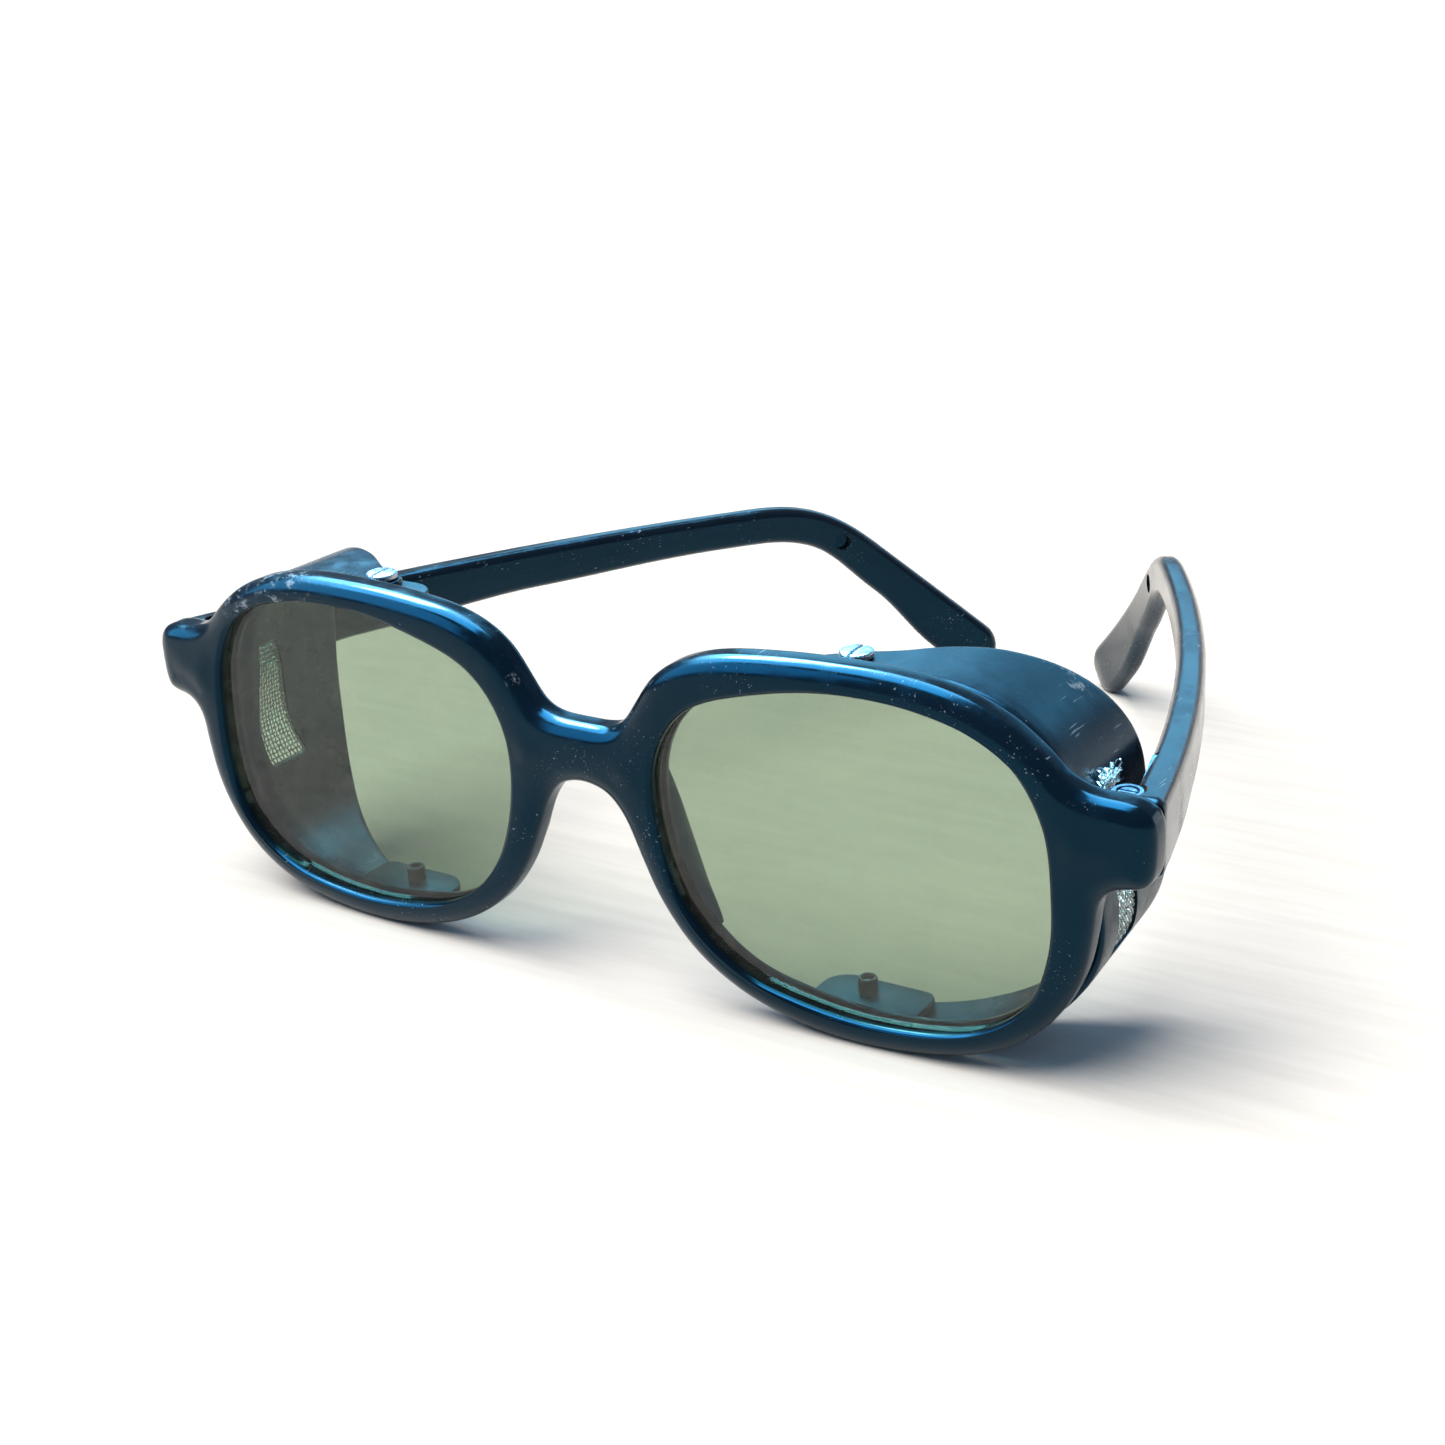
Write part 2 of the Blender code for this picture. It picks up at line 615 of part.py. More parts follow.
def temple_ring(frame):
    s, at, ahead, inward, upward = frame
    high = temple_height(s)
    thick = TEMPLE_THICK * (1.0 - 0.18 * min(1.0, s / 120.0))
    left = TEMPLE_LONG - s
    close = 1.0
    if left < 4.5:
        close = max(0.3, sqrt(1 - ((4.5 - left) / 4.5) ** 2))
    trim = high * (1 - close) / 2
    thick *= 0.35 + 0.65 * close
    r = min(1.25, thick * 0.42, high * close * 0.4)
    outline = round_box_outline(-thick / 2, thick / 2, -high + trim, -trim, (r, r, r, r), 3)
    return [at + inward * u + upward * v for u, v in outline]


def build_temple():
    frames = temple_frames()
    rings = []
    for f in frames:
        s = f[0]
        if s < 3.0:
            continue
        dense = s < 12 or abs(s - TEMPLE_BEND_AT) < TEMPLE_BEND_OVER * 0.6 or s > TEMPLE_LONG - 5
        every = 1.5 if s > TEMPLE_LONG - 5 else 3.0 if dense else 6.0
        if abs(s / every - round(s / every)) < 1e-6 or s >= TEMPLE_LONG - 1e-6:
            rings.append(temple_ring(f))
    first = []
    ahead = frames[6][2]
    for p in rings[0]:
        q = Vector(p)
        for _ in range(6):
            q += ahead * ((rear_face(q.x) + BUTT_GAP - q.y) / ahead.y)
        first.append(q)
    temple = loft("temple_left", [first] + rings)
    start = frames[0]
    relief = turned("relief", HINGE_X, HINGE_Y, [(KNUCKLE_R + 0.4, -8), (KNUCKLE_R + 0.4, 10)])
    corner = box("corner", 60.0, HINGE_X + 1.35, 5.0, HINGE_Y, -8, 10)
    recess = leaf_box("recess", 5.4, 17.3, 0.65, 4.0, -0.9, 4.7)
    cutters = [relief, corner, recess, round_recess(frames)]
    for s in LEAF_STUDS:
        cutters.append(leaf_stud("stud_hole", s, 0.95, -0.75, 1.5))
    return combine(temple, cutters, 'DIFFERENCE')


def round_recess(frames):
    """Cutter for the shallow round recess in the temple's inner face."""
    s, at, ahead, inward, upward = min(frames, key=lambda f: abs(f[0] - RECESS_AT))
    thick = TEMPLE_THICK * (1.0 - 0.18 * min(1.0, s / 120.0))
    middle = at - upward * (temple_height(s) / 2)
    return prism("round_recess", circle(0, 0, RECESS_R), thick / 2 - RECESS_DEEP, thick,
                 lambda u, v, w: middle + ahead * u + upward * v + inward * w)


def leaf_frame():
    """Start point, direction along and inward direction of the temple's inner face near the hinge."""
    turn = radians(TEMPLE_TOE_IN + TEMPLE_BOW * 9.0)
    at = temple_frames()[18][1]
    ahead = Vector((-sin(turn), cos(turn), 0))
    inward = Vector((-cos(turn), -sin(turn), 0))
    return at - ahead * 9.0, ahead, inward


def leaf_point(s, t, z):
    at, ahead, inward = leaf_frame()
    q = at + ahead * s + inward * t
    return (q.x, q.y, z)


def leaf_box(name, s0, s1, t0, t1, z0, z1):
    return prism(name, [(s0, t0), (s1, t0), (s1, t1), (s0, t1)], z0, z1, leaf_point)


def leaf_stud(name, s, r, t0, t1):
    return prism(name, [(s + a, 1.9 + b) for a, b in circle(0, 0, r, 16)], t0, t1,
                 lambda u, v, w: leaf_point(u, w, v))


def knuckle(name, low, high):
    return turned(name, HINGE_X, HINGE_Y, [(KNUCKLE_R, low), (KNUCKLE_R, high)])


def build_hinge():
    lo, split, hi = HINGE_LOW, HINGE_SPLIT, HINGE_HIGH
    face = FRONT_DEPTH - LEAF_THICK
    front = box("hinge_front_left", HINGE_X - 2.5, HINGE_X + 2.9, face, FRONT_DEPTH, -2.2, 5.6)
    studs = []
    for z in (-0.4, 3.8):
        outline = circle(HINGE_X + 1.9, z, 0.65, 16)
        studs.append(prism("stud", outline, 2.2, FRONT_DEPTH - 0.5, lambda u, v, w: (u, w, v)))
    combine(front, studs, 'UNION')
    move_points(front, lambda c: (c.x, c.y + fall_back(c.x), c.z))
    parts = []
    for low, high in ((lo, split[0]), (split[3], hi)):
        parts.append(knuckle("knuckle", low, high))
        start = rear_face(HINGE_X) - 0.5
        parts.append(box("neck", HINGE_X - KNUCKLE_R + 0.01, HINGE_X + 0.9, start, HINGE_Y, low, high))
    combine(front, parts, 'UNION')
    hole = bore(HINGE_X, HINGE_Y, KNUCKLE_HOLE_R, lo - 1, hi + 1)
    sink = bore(HINGE_X, HINGE_Y, 1.3, hi - 0.65, hi + 1)
    combine(front, [hole, sink], 'DIFFERENCE')

    leaf = leaf_box("hinge_temple_left", 6.9, 17.0, 0.95, 1.9, -0.6, 4.4)
    arm = leaf_box("arm", 4.7, 8.0, 1.0, 2.9, split[1], split[2])
    studs = [leaf_stud("stud", s, 0.65, -0.45, 1.4) for s in LEAF_STUDS]
    combine(leaf, studs + [arm, knuckle("knuckle", split[1], split[2])], 'UNION')
    combine(leaf, [bore(HINGE_X, HINGE_Y, KNUCKLE_HOLE_R, lo - 1, hi + 1)], 'DIFFERENCE')

    top = hi - 0.05
    profile = [(0.45, lo + 0.2), (HINGE_SCREW_R, lo + 0.4), (HINGE_SCREW_R, top - 0.45), (1.1, top - 0.45)]
    profile += [(1.1, top - 0.1), (0.95, top)]
    screw = turned("hinge_screw_left", HINGE_X, HINGE_Y, profile)
    slot = box("slot", HINGE_X - 1.5, HINGE_X + 1.5, HINGE_Y - 0.17, HINGE_Y + 0.17, top - 0.28, top + 1)
    combine(screw, [slot], 'DIFFERENCE')
    return front, leaf, screw


# ---------------------------------------------------------------- standing the glasses up
def lowest(objects, turn):
    c = cos(turn)
    s = sin(turn)
    return min(s * v.co.y + c * v.co.z for obj in objects for v in obj.data.vertices)


def resting_lean(fronts, tips):
    """Angle about X at which the rims and the temple tips touch one level surface."""
    low = radians(-2)
    high = radians(15)
    for _ in range(40):
        mid = (low + high) / 2
        if lowest(tips, mid) < lowest(fronts, mid):
            low = mid
        else:
            high = mid
    return (low + high) / 2


def material(name, color, roughness, metallic, alpha):
    mat = bpy.data.materials.new(name)
    mat.use_nodes = True
    shader = mat.node_tree.nodes["Principled BSDF"]
    shader.inputs["Base Color"].default_value = (*color, 1.0)
    shader.inputs["Roughness"].default_value = roughness
    shader.inputs["Metallic"].default_value = metallic
    shader.inputs["Alpha"].default_value = alpha
    return mat


def build():
    for old in list(bpy.data.objects):
        bpy.data.objects.remove(old, do_unlink=True)
    plastic = material("frame_plastic", (0.012, 0.022, 0.036), 0.18, 0.0, 1.0)
    shell = material("shield_plastic", (0.012, 0.020, 0.032), 0.28, 0.0, 1.0)
    glass = material("lens_glass", (0.30, 0.46, 0.33), 0.04, 0.0, 0.45)
    steel = material("screw_steel", (0.62, 0.66, 0.70), 0.3, 1.0, 1.0)
    black = material("blackened_metal", (0.04, 0.045, 0.05), 0.4, 1.0, 1.0)
    wire = material("mesh_wire", (0.55, 0.57, 0.58), 0.35, 1.0, 1.0)
    hinge = material("hinge_metal", (0.42, 0.46, 0.50), 0.35, 1.0, 1.0)

    front = build_front()
    made = [(front, plastic)]
    pivots = {}
    left = [(build_lens(), glass, None)]
    pin = Vector((PIVOT_X, PIVOT_Y, 0))
    left.append((build_shield(), shell, pin))
    left.append((build_mesh(), wire, pin))
    for name, up in (("screw_top_left", 1), ("screw_bottom_left", -1)):
        screw, sleeve = build_shield_screw(name, up)
        left.append((screw, steel, None))
        left.append((sleeve, black, None))
    axis = Vector((HINGE_X, HINGE_Y, 0))
    temple = build_temple()
    left.append((temple, plastic, axis))
    leaf_front, leaf_temple, hinge_screw = build_hinge()
    left.append((leaf_front, hinge, None))
    left.append((leaf_temple, hinge, axis))
    left.append((hinge_screw, steel, None))
    for obj, mat, pivot in left:
        twin = mirrored(obj, obj.name.replace("left", "right"))
        made += [(obj, mat), (twin, mat)]
        if pivot is not None:
            pivots[obj.name] = pivot
            pivots[twin.name] = Vector((-pivot.x, pivot.y, pivot.z))

    objects = {obj.name: obj for obj, _ in made}
    turn = resting_lean([front] + [obj for obj, _, _ in left if obj is not temple], [temple])
    stand = Matrix.Rotation(turn, 4, 'X')
    corners = [stand @ v.co for obj in objects.values() for v in obj.data.vertices]
    ys = [c.y for c in corners]
    shift = Vector((0, -(min(ys) + max(ys)) / 2, -min(c.z for c in corners)))
    for obj, mat in made:
        origin = Vector((0, 0, 0))
        if obj.name in pivots:
            origin = (stand @ pivots[obj.name] + shift) * 0.001
        for v in obj.data.vertices:
            v.co = (stand @ v.co + shift) * 0.001 - origin
        obj.data.update()
        obj.location = origin
        obj.data.materials.clear()
        obj.data.materials.append(mat)


build()
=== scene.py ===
"""Visual model of the safety glasses: moulded navy plastic, green glass, woven wire mesh, slotted screws.

Shapes are laid out in millimetres in the front's own axes (X to the wearer's left, Y backwards, Z up
in the plane of the lenses), and stand() puts them into the row frame in metres.
"""
import json
import random
from math import atan2, cos, pi, radians, sin

import bmesh
import bpy
from mathutils import Matrix, Vector, geometry, kdtree


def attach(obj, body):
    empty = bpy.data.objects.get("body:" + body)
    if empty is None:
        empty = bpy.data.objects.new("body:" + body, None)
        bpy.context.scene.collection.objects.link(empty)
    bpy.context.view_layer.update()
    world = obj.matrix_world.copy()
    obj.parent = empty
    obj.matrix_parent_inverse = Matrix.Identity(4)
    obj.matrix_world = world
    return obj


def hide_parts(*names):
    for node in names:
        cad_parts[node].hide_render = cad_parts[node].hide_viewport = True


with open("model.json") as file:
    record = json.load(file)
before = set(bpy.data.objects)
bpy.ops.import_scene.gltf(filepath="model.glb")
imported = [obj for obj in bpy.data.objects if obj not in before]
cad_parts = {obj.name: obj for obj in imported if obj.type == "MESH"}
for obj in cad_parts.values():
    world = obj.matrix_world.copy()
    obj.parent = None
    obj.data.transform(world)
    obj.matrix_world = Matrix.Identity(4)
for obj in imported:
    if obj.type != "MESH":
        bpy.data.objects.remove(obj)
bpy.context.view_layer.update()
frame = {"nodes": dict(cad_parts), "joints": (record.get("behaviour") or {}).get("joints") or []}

MM = 0.001

# ---------------------------------------------------------------- dimensions shared with the CAD, mm
FACE_CURVE = 2.09
FRONT_DEPTH = 4.6
REAR_ROUND = 1.1
LIP_ROUND = 0.8
GROOVE_FRONT = 1.15
GROOVE_REAR = 3.6
GROOVE_DEEP = 1.1
LENS_FRONT = 1.45
LENS_REAR = 3.3
LENS_OVERSIZE = 0.75
PIVOT_X = 34.3
PIVOT_Y = 8.2
LEDGE_INNER = 28.0
LEDGE_OUTER = 42.0
LEDGE_REAR = 11.6
LEDGE_THICK = 1.2
LEDGE_TOP_Z = 15.1
LEDGE_LOW_Z = -27.4
LEDGE_HOLE_R = 0.85
LEDGE_ROOT = 4.5
LEDGE_EDGE = 0.3
TAB_GAP = 0.2
TAB_RADIUS = 2.5
TAB_HOLE_R = 0.95
SHIELD_THICK = 1.0
SHIELD_SEAT = 0.35
SCREW_R = 0.7
SLEEVE_LONG = 1.9
HEAD_TOP = (2.0, 0.9)    # radius and height of the upper screws' heads
HEAD_LOW = (1.9, 0.65)
HEAD_ROUND = 0.32
HEAD_LIFT = 0.12
SLOT_HALF = 0.24
SLOT_DEEP = 0.5
WINDOW_TOP = (2.0, 11.5, 15.0)
WINDOW_FOOT = (-16.8, 12.3, 19.2)
WINDOW_ROUND = 0.9
HINGE_X = 66.0
HINGE_Y = 10.0
KNUCKLE_R = 1.7
LEAF_THICK = 1.0
LEAF_GAP = 0.3
TEMPLE_START = (69.5, 6.0, 6.0)
TEMPLE_LONG = 155.0
TEMPLE_BEND_AT = 111.5
TEMPLE_BEND_OVER = 28.0
TEMPLE_DROP = 38.0
TEMPLE_SLOPE = 4.1
TEMPLE_TOE_IN = 11.9
TEMPLE_BOW = 0.163
TEMPLE_CURL = 0.545
TEMPLE_THICK = 3.9
TEMPLE_TIP = 4.5
RECESS_AT = 118.0
RECESS_R = 1.45
RECESS_DEEP = 0.7
BUTT_GAP = 0.3
POCKET_IN = 2.8          # the lug's pocket for the hinge leaf: how far it reaches from the hinge's line
POCKET_OUT = 3.2
POCKET_FOOT = -2.5
POCKET_TOP = 5.9

# ---------------------------------------------------------------- detail of the visual pieces, mm
OUTLINE_STEP = 0.55
CAP_STEP = 1.3
CROWN = 0.5              # how far the rims' front face is domed
CROWN_WIDE = 3.0
BEVEL_WIDE = 2.9         # the rims' outer front edge rolls over further across than it does back
BEVEL_DEEP = 1.9
LUG_ROUND = 0.35
WIRE_R = 0.11
WIRE_PITCH = 0.68
FRAY_WIRES = 130
SOFT_EDGE = 0.07

# ---------------------------------------------------------------- from the front's axes to the row frame
joints = {j["name"]: j for j in frame["joints"]}
fold = joints["temple_left_fold"]
LEAN = atan2(-fold["axis"][1], fold["axis"][2])
STAND = Matrix.Rotation(LEAN, 3, 'X')
SHIFT = Vector(fold["pos_m"]) - STAND @ Vector((HINGE_X, HINGE_Y, 0)) * MM


def stand(p):
    """A point in the front's axes, mm, as a point in the row frame, m."""
    return STAND @ Vector(p) * MM + SHIFT


# ---------------------------------------------------------------- outlines, X and Z
def front_half_outline():
    """The +X half of the front's silhouette, from the bridge's top middle round to its underside."""
    top = [(0, 5.0), (3.6, 5.1), (6.2, 6.1), (8.4, 9.2), (10.8, 12.5), (14.4, 15.0), (19.5, 16.6)]
    brow = [(26.5, 17.4), (34.0, 17.7), (42.0, 17.5), (49.0, 16.3), (54.5, 14.0), (58.6, 11.0)]
    lug = [(61.6, 8.1), (64.8, 6.9), (68.0, 6.7), (70.4, 6.1), (71.5, 4.4), (71.6, 0.8)]
    under_lug = [(71.3, -1.9), (70.3, -3.2), (67.2, -3.6), (65.3, -5.4), (64.7, -9.5), (63.6, -14.8)]
    cheek = [(60.9, -20.2), (57.0, -24.3), (51.5, -27.3), (44.5, -28.9), (36.0, -29.4), (28.0, -28.4)]
    nose = [(20.6, -25.9), (14.6, -21.8), (10.3, -16.3), (7.6, -10.5), (5.8, -6.2), (3.4, -3.4), (0, -2.5)]
    return top + brow + lug + under_lug + cheek + nose


def opening_outline():
    """Closed outline of the left lens opening, seen from the front."""
    upper = [(60.3, -5.5), (59.2, 3.2), (54.6, 10.2), (46.0, 13.6), (35.5, 14.4), (25.0, 12.8)]
    inner = [(15.6, 9.3), (10.9, 2.2), (10.9, -7.2), (14.2, -16.3), (20.6, -22.5), (29.0, -25.1)]
    lower = [(39.0, -26.0), (50.0, -24.5), (57.1, -19.8), (59.9, -13.0)]
    return upper + inner + lower


TAB_HIGH = LEDGE_TOP_Z + TAB_GAP + SHIELD_THICK / 2
TAB_DEEP = LEDGE_LOW_Z - TAB_GAP - SHIELD_THICK / 2


def shield_path():
    """Middle of the shield's wall from the upper pivot round the side to the lower pivot."""
    top = [(PIVOT_X, TAB_HIGH), (38.0, TAB_HIGH), (42.5, TAB_HIGH), (47.5, 15.4), (52.5, 13.8), (56.6, 11.0)]
    side = [(59.6, 7.4), (61.4, 3.2), (62.1, -1.6), (63.3, -6.4), (64.0, -11.0), (63.2, -15.6)]
    low = [(60.6, -20.0), (56.6, -23.8), (51.6, -26.5), (47.0, TAB_DEEP + 0.4), (42.4, TAB_DEEP)]
    return top + side + low + [(38.0, TAB_DEEP), (PIVOT_X, TAB_DEEP)]


def window_edge(z, which):
    """How far back the window's front (1) or rear (2) edge lies at a height."""
    share = (WINDOW_TOP[0] - z) / (WINDOW_TOP[0] - WINDOW_FOOT[0])
    return WINDOW_TOP[which] + share * (WINDOW_FOOT[which] - WINDOW_TOP[which])


# ---------------------------------------------------------------- geometry helpers
def spline(points, closed, step):
    """Even samples of a Catmull-Rom curve through the points."""
    pts = [Vector(p) for p in points]
    count = len(pts)
    dense = []
    for i in range(count if closed else count - 1):
        p1 = pts[i]
        p2 = pts[(i + 1) % count]
        p0 = pts[i - 1] if closed or i > 0 else p1 * 2 - p2
        p3 = pts[(i + 2) % count] if closed or i + 2 < count else p2 * 2 - p1
        for k in range(24):
            t = k / 24
            b = (p2 - p0) * t
            c = (p0 * 2 - p1 * 5 + p2 * 4 - p3) * t * t
            d = (p1 * 3 - p0 - p2 * 3 + p3) * t * t * t
            dense.append((p1 * 2 + b + c + d) * 0.5)
    dense.append(pts[0].copy() if closed else pts[-1].copy())
    run = [0.0]
    for a, b in zip(dense, dense[1:]):
        run.append(run[-1] + (b - a).length)
    number = max(4, round(run[-1] / step))
    out = []
    k = 0
    for i in range(number if closed else number + 1):
        want = run[-1] * i / number
        while k < len(run) - 2 and run[k + 1] < want:
            k += 1
        share = (want - run[k]) / max(run[k + 1] - run[k], 1e-9)
        out.append(dense[k].lerp(dense[k + 1], min(max(share, 0), 1)))
    return out


def smooth_loop(pts, times):
    """A closed loop with its small unevenness averaged away."""
    for _ in range(times):
        pts = [(pts[i - 1] + pts[i] * 2 + pts[(i + 1) % len(pts)]) / 4 for i in range(len(pts))]
    return pts


def loop_normals(pts):
    """Unit normals of a closed loop, to the left of its direction of travel."""
    out = []
    for i in range(len(pts)):
        along = (pts[(i + 1) % len(pts)] - pts[i - 1]).normalized()
        out.append(Vector((-along.y, along.x)))
    return out


def signed_area(pts):
    return sum(a.x * b.y - b.x * a.y for a, b in zip(pts, pts[1:] + pts[:1])) / 2


def inside(p, loop):
    """Whether a point lies within a closed loop."""
    odd = False
    for a, b in zip(loop, loop[1:] + loop[:1]):
        if (a.y > p.y) != (b.y > p.y) and p.x < a.x + (p.y - a.y) * (b.x - a.x) / (b.y - a.y):
            odd = not odd
    return odd


def smoothstep(t):
    t = min(1.0, max(0.0, t))
    return t * t * (3 - 2 * t)


def fall_back(x):
    """How far the front curves back at x."""
    return FACE_CURVE * (x / 60.0) ** 2


def rear_face(x):
    return FRONT_DEPTH + fall_back(x)


def mesh_object(name, bm, weld=1e-4):
    """A linked object from a bmesh laid out in mm, welded and with its faces turned outwards."""
    bmesh.ops.remove_doubles(bm, verts=bm.verts, dist=weld)
    bmesh.ops.recalc_face_normals(bm, faces=bm.faces)
    mesh = bpy.data.meshes.new(name)
    bm.to_mesh(mesh)
    bm.free()
    obj = bpy.data.objects.new(name, mesh)
    bpy.context.scene.collection.objects.link(obj)
    return obj


def bridge_rings(bm, a, b):
    """A band of faces between two rings with equally many vertices."""
    n = len(a)
    for i in range(n):
        bm.faces.new((a[i], a[(i + 1) % n], b[(i + 1) % n], b[i]))


def loft(name, rings):
    """Closed skin over a run of closed rings, with a face at each end."""
    bm = bmesh.new()
    made = [[bm.verts.new(p) for p in r] for r in rings]
    for a, b in zip(made, made[1:]):
        bridge_rings(bm, a, b)
    bm.faces.new(made[0])
    bm.faces.new(made[-1])
    return mesh_object(name, bm)


def round_box_outline(u0, u1, v0, v1, radii, steps=6):
    """Rectangle whose corners (u1v1, u0v1, u0v0, u1v0) have their own radii."""
    out = []
    corners = ((u1, v1, 0), (u0, v1, 90), (u0, v0, 180), (u1, v0, 270))
    for (cu, cv, start), r in zip(corners, radii):
        su = -1 if cu == u1 else 1
        sv = -1 if cv == v1 else 1
        for k in range(steps + 1 if r > 0 else 1):
            a = radians(start + 90 * k / steps)
            out.append((cu + su * r + r * cos(a), cv + sv * r + r * sin(a)))
    return out


def round_corners(points, r, steps=8):
    """Outline through points with each corner rounded, starting r from it along both sides."""
    out = []
    count = len(points)
    for i in range(count):
        corner = Vector(points[i])
        a = corner + (Vector(points[i - 1]) - corner).normalized() * r
        b = corner + (Vector(points[(i + 1) % count]) - corner).normalized() * r
        for k in range(steps + 1):
            t = k / steps
            out.append(tuple(a * (1 - t) ** 2 + corner * 2 * t * (1 - t) + b * t * t))
    return out


def prism(name, outline, low, high, place):
    return loft(name, [[place(u, v, w) for u, v in outline] for w in (low, high)])


def box(name, x0, x1, y0, y1, z0, z1):
    return prism(name, [(x0, y0), (x1, y0), (x1, y1), (x0, y1)], z0, z1, lambda u, v, w: (u, v, w))


def circle(cx, cy, r, count=40):
    angles = [2 * pi * (k + 0.5) / count for k in range(count)]
    return [(cx + r * cos(a), cy + r * sin(a)) for a in angles]


def turned(name, cx, cy, profile, count=40):
    """Solid of revolution about an upright line; profile is (radius, z) from bottom to top."""
    return loft(name, [[(x, y, z) for x, y in circle(cx, cy, r, count)] for r, z in profile])


def combine(obj, others, kind):
    """Union or difference with other objects, which are used up."""
    for other in others:
        mod = obj.modifiers.new("cut", 'BOOLEAN')
        mod.operation = kind
        mod.solver = 'EXACT'
        mod.object = other
        bpy.context.view_layer.update()
        graph = bpy.context.evaluated_depsgraph_get()
        mesh = bpy.data.meshes.new_from_object(obj.evaluated_get(graph))
        obj.modifiers.clear()
        obj.data = mesh
        bpy.data.objects.remove(other, do_unlink=True)
    return obj


def move_points(obj, fn):
    for v in obj.data.vertices:
        v.co = Vector(fn(v.co))
    obj.data.update()
    return obj


def mirrored(obj, name):
    """A copy for the other side of the face."""
    mesh = obj.data.copy()
    copy = bpy.data.objects.new(name, mesh)
    bpy.context.scene.collection.objects.link(copy)
    for v in mesh.vertices:
        v.co.x = -v.co.x
    mesh.flip_normals()
    mesh.update()
    return copy


def join(name, objects):
    """One mesh object from several; all but the first get the second material."""
    bm = bmesh.new()
    for number, obj in enumerate(objects):
        first = len(bm.faces)
        bm.from_mesh(obj.data)
        bm.faces.ensure_lookup_table()
        for face in bm.faces[first:]:
            face.material_index = 0 if number == 0 else 1
        bpy.data.objects.remove(obj, do_unlink=True)
    mesh = bpy.data.meshes.new(name)
    bm.to_mesh(mesh)
    bm.free()
    obj = bpy.data.objects.new(name, mesh)
    bpy.context.scene.collection.objects.link(obj)
    return obj


def finish_piece(obj, body, material, nodes=(), sharp=35.0, second=None):
    """Puts a piece into the row frame, shades it and hides the CAD parts it stands for."""
    for v in obj.data.vertices:
        v.co = stand(v.co)
    obj.data.shade_smooth()
    obj.data.set_sharp_from_angle(angle=radians(sharp))
    which = [f.material_index for f in obj.data.polygons]
    obj.data.materials.clear()
    obj.data.materials.append(material)
    if second:
        obj.data.materials.append(second)
        obj.data.polygons.foreach_set("material_index", which)
    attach(obj, body)
    if nodes:
        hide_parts(*nodes)
    return obj


# ---------------------------------------------------------------- materials
def new_material(name):
    mat = bpy.data.materials.new(name)
    mat.use_nodes = True
    mat.node_tree.nodes.clear()
    return mat


def add(mat, kind, settings=None, **inputs):
    """A node with its inputs given as values or as sockets; _ in an input's name stands for a space."""
    node = mat.node_tree.nodes.new(kind)
    for key, value in (settings or {}).items():
        setattr(node, key, value)
    for key, value in inputs.items():
        name = key.replace("_", " ")
        socket = node.inputs[int(name[1:])] if name[0] == "i" and name[1:].isdigit() else node.inputs[name]
        if isinstance(value, bpy.types.NodeSocket):
            mat.node_tree.links.new(value, socket)
        else:
            socket.default_value = value
    return node


def place_in_mm(mat, stretch=(1, 1, 1), turn=(0, 0, 0)):
    """The piece's own coordinates in mm, stretched and turned."""
    where = add(mat, 'ShaderNodeTexCoord').outputs['Object']
    scale = [s / MM for s in stretch]
    return add(mat, 'ShaderNodeMapping', Vector=where, Scale=scale, Rotation=turn).outputs['Vector']


def noise(mat, where, scale, detail=3.0, rough=0.55):
    node = add(mat, 'ShaderNodeTexNoise', Vector=where, Scale=scale, Detail=detail, Roughness=rough)
    return node.outputs['Fac']


def spread(mat, value, low, high, to_low=0.0, to_high=1.0):
    """Maps low..high to to_low..to_high, held at the ends."""
    settings = {"interpolation_type": 'SMOOTHSTEP'}
    keys = {"Value": value, "From_Min": low, "From_Max": high, "To_Min": to_low, "To_Max": to_high}
    return add(mat, 'ShaderNodeMapRange', settings, **keys).outputs['Result']


def maths(mat, what, a, b):
    return add(mat, 'ShaderNodeMath', {"operation": what}, i0=a, i1=b).outputs[0]


def mix_colour(mat, factor, a, b):
    node = add(mat, 'ShaderNodeMix', {"data_type": 'RGBA'})
    for socket, value in ((node.inputs[0], factor), (node.inputs[6], a), (node.inputs[7], b)):
        if isinstance(value, bpy.types.NodeSocket):
            mat.node_tree.links.new(value, socket)
        else:
            socket.default_value = value if isinstance(value, float) else (*value, 1.0)
    return node.outputs[2]


def near(mat, spot, reach):
    """1 at a place given in the front's axes, falling to 0 at reach mm from it."""
    where = place_in_mm(mat)
    middle = tuple(stand(spot) / MM)
    far = add(mat, 'ShaderNodeVectorMath', {"operation": 'DISTANCE'}, i0=where, i1=middle).outputs['Value']
    return spread(mat, far, reach * 0.45, reach, 1.0, 0.0)


def output(mat, shader):
    add(mat, 'ShaderNodeOutputMaterial', Surface=shader)
    return mat


def scratches(mat, turn, scale, amount):
    """Thin marks along one direction: 1 on a mark."""
    where = place_in_mm(mat, (1.0, 0.06, 1.0), turn)
    lines = noise(mat, where, scale, 2.0)
    patch = spread(mat, noise(mat, place_in_mm(mat), 0.11, 2.0), 0.5, 0.62)
    return maths(mat, 'MULTIPLY', spread(mat, lines, 0.69, 0.73, 0.0, amount), patch)


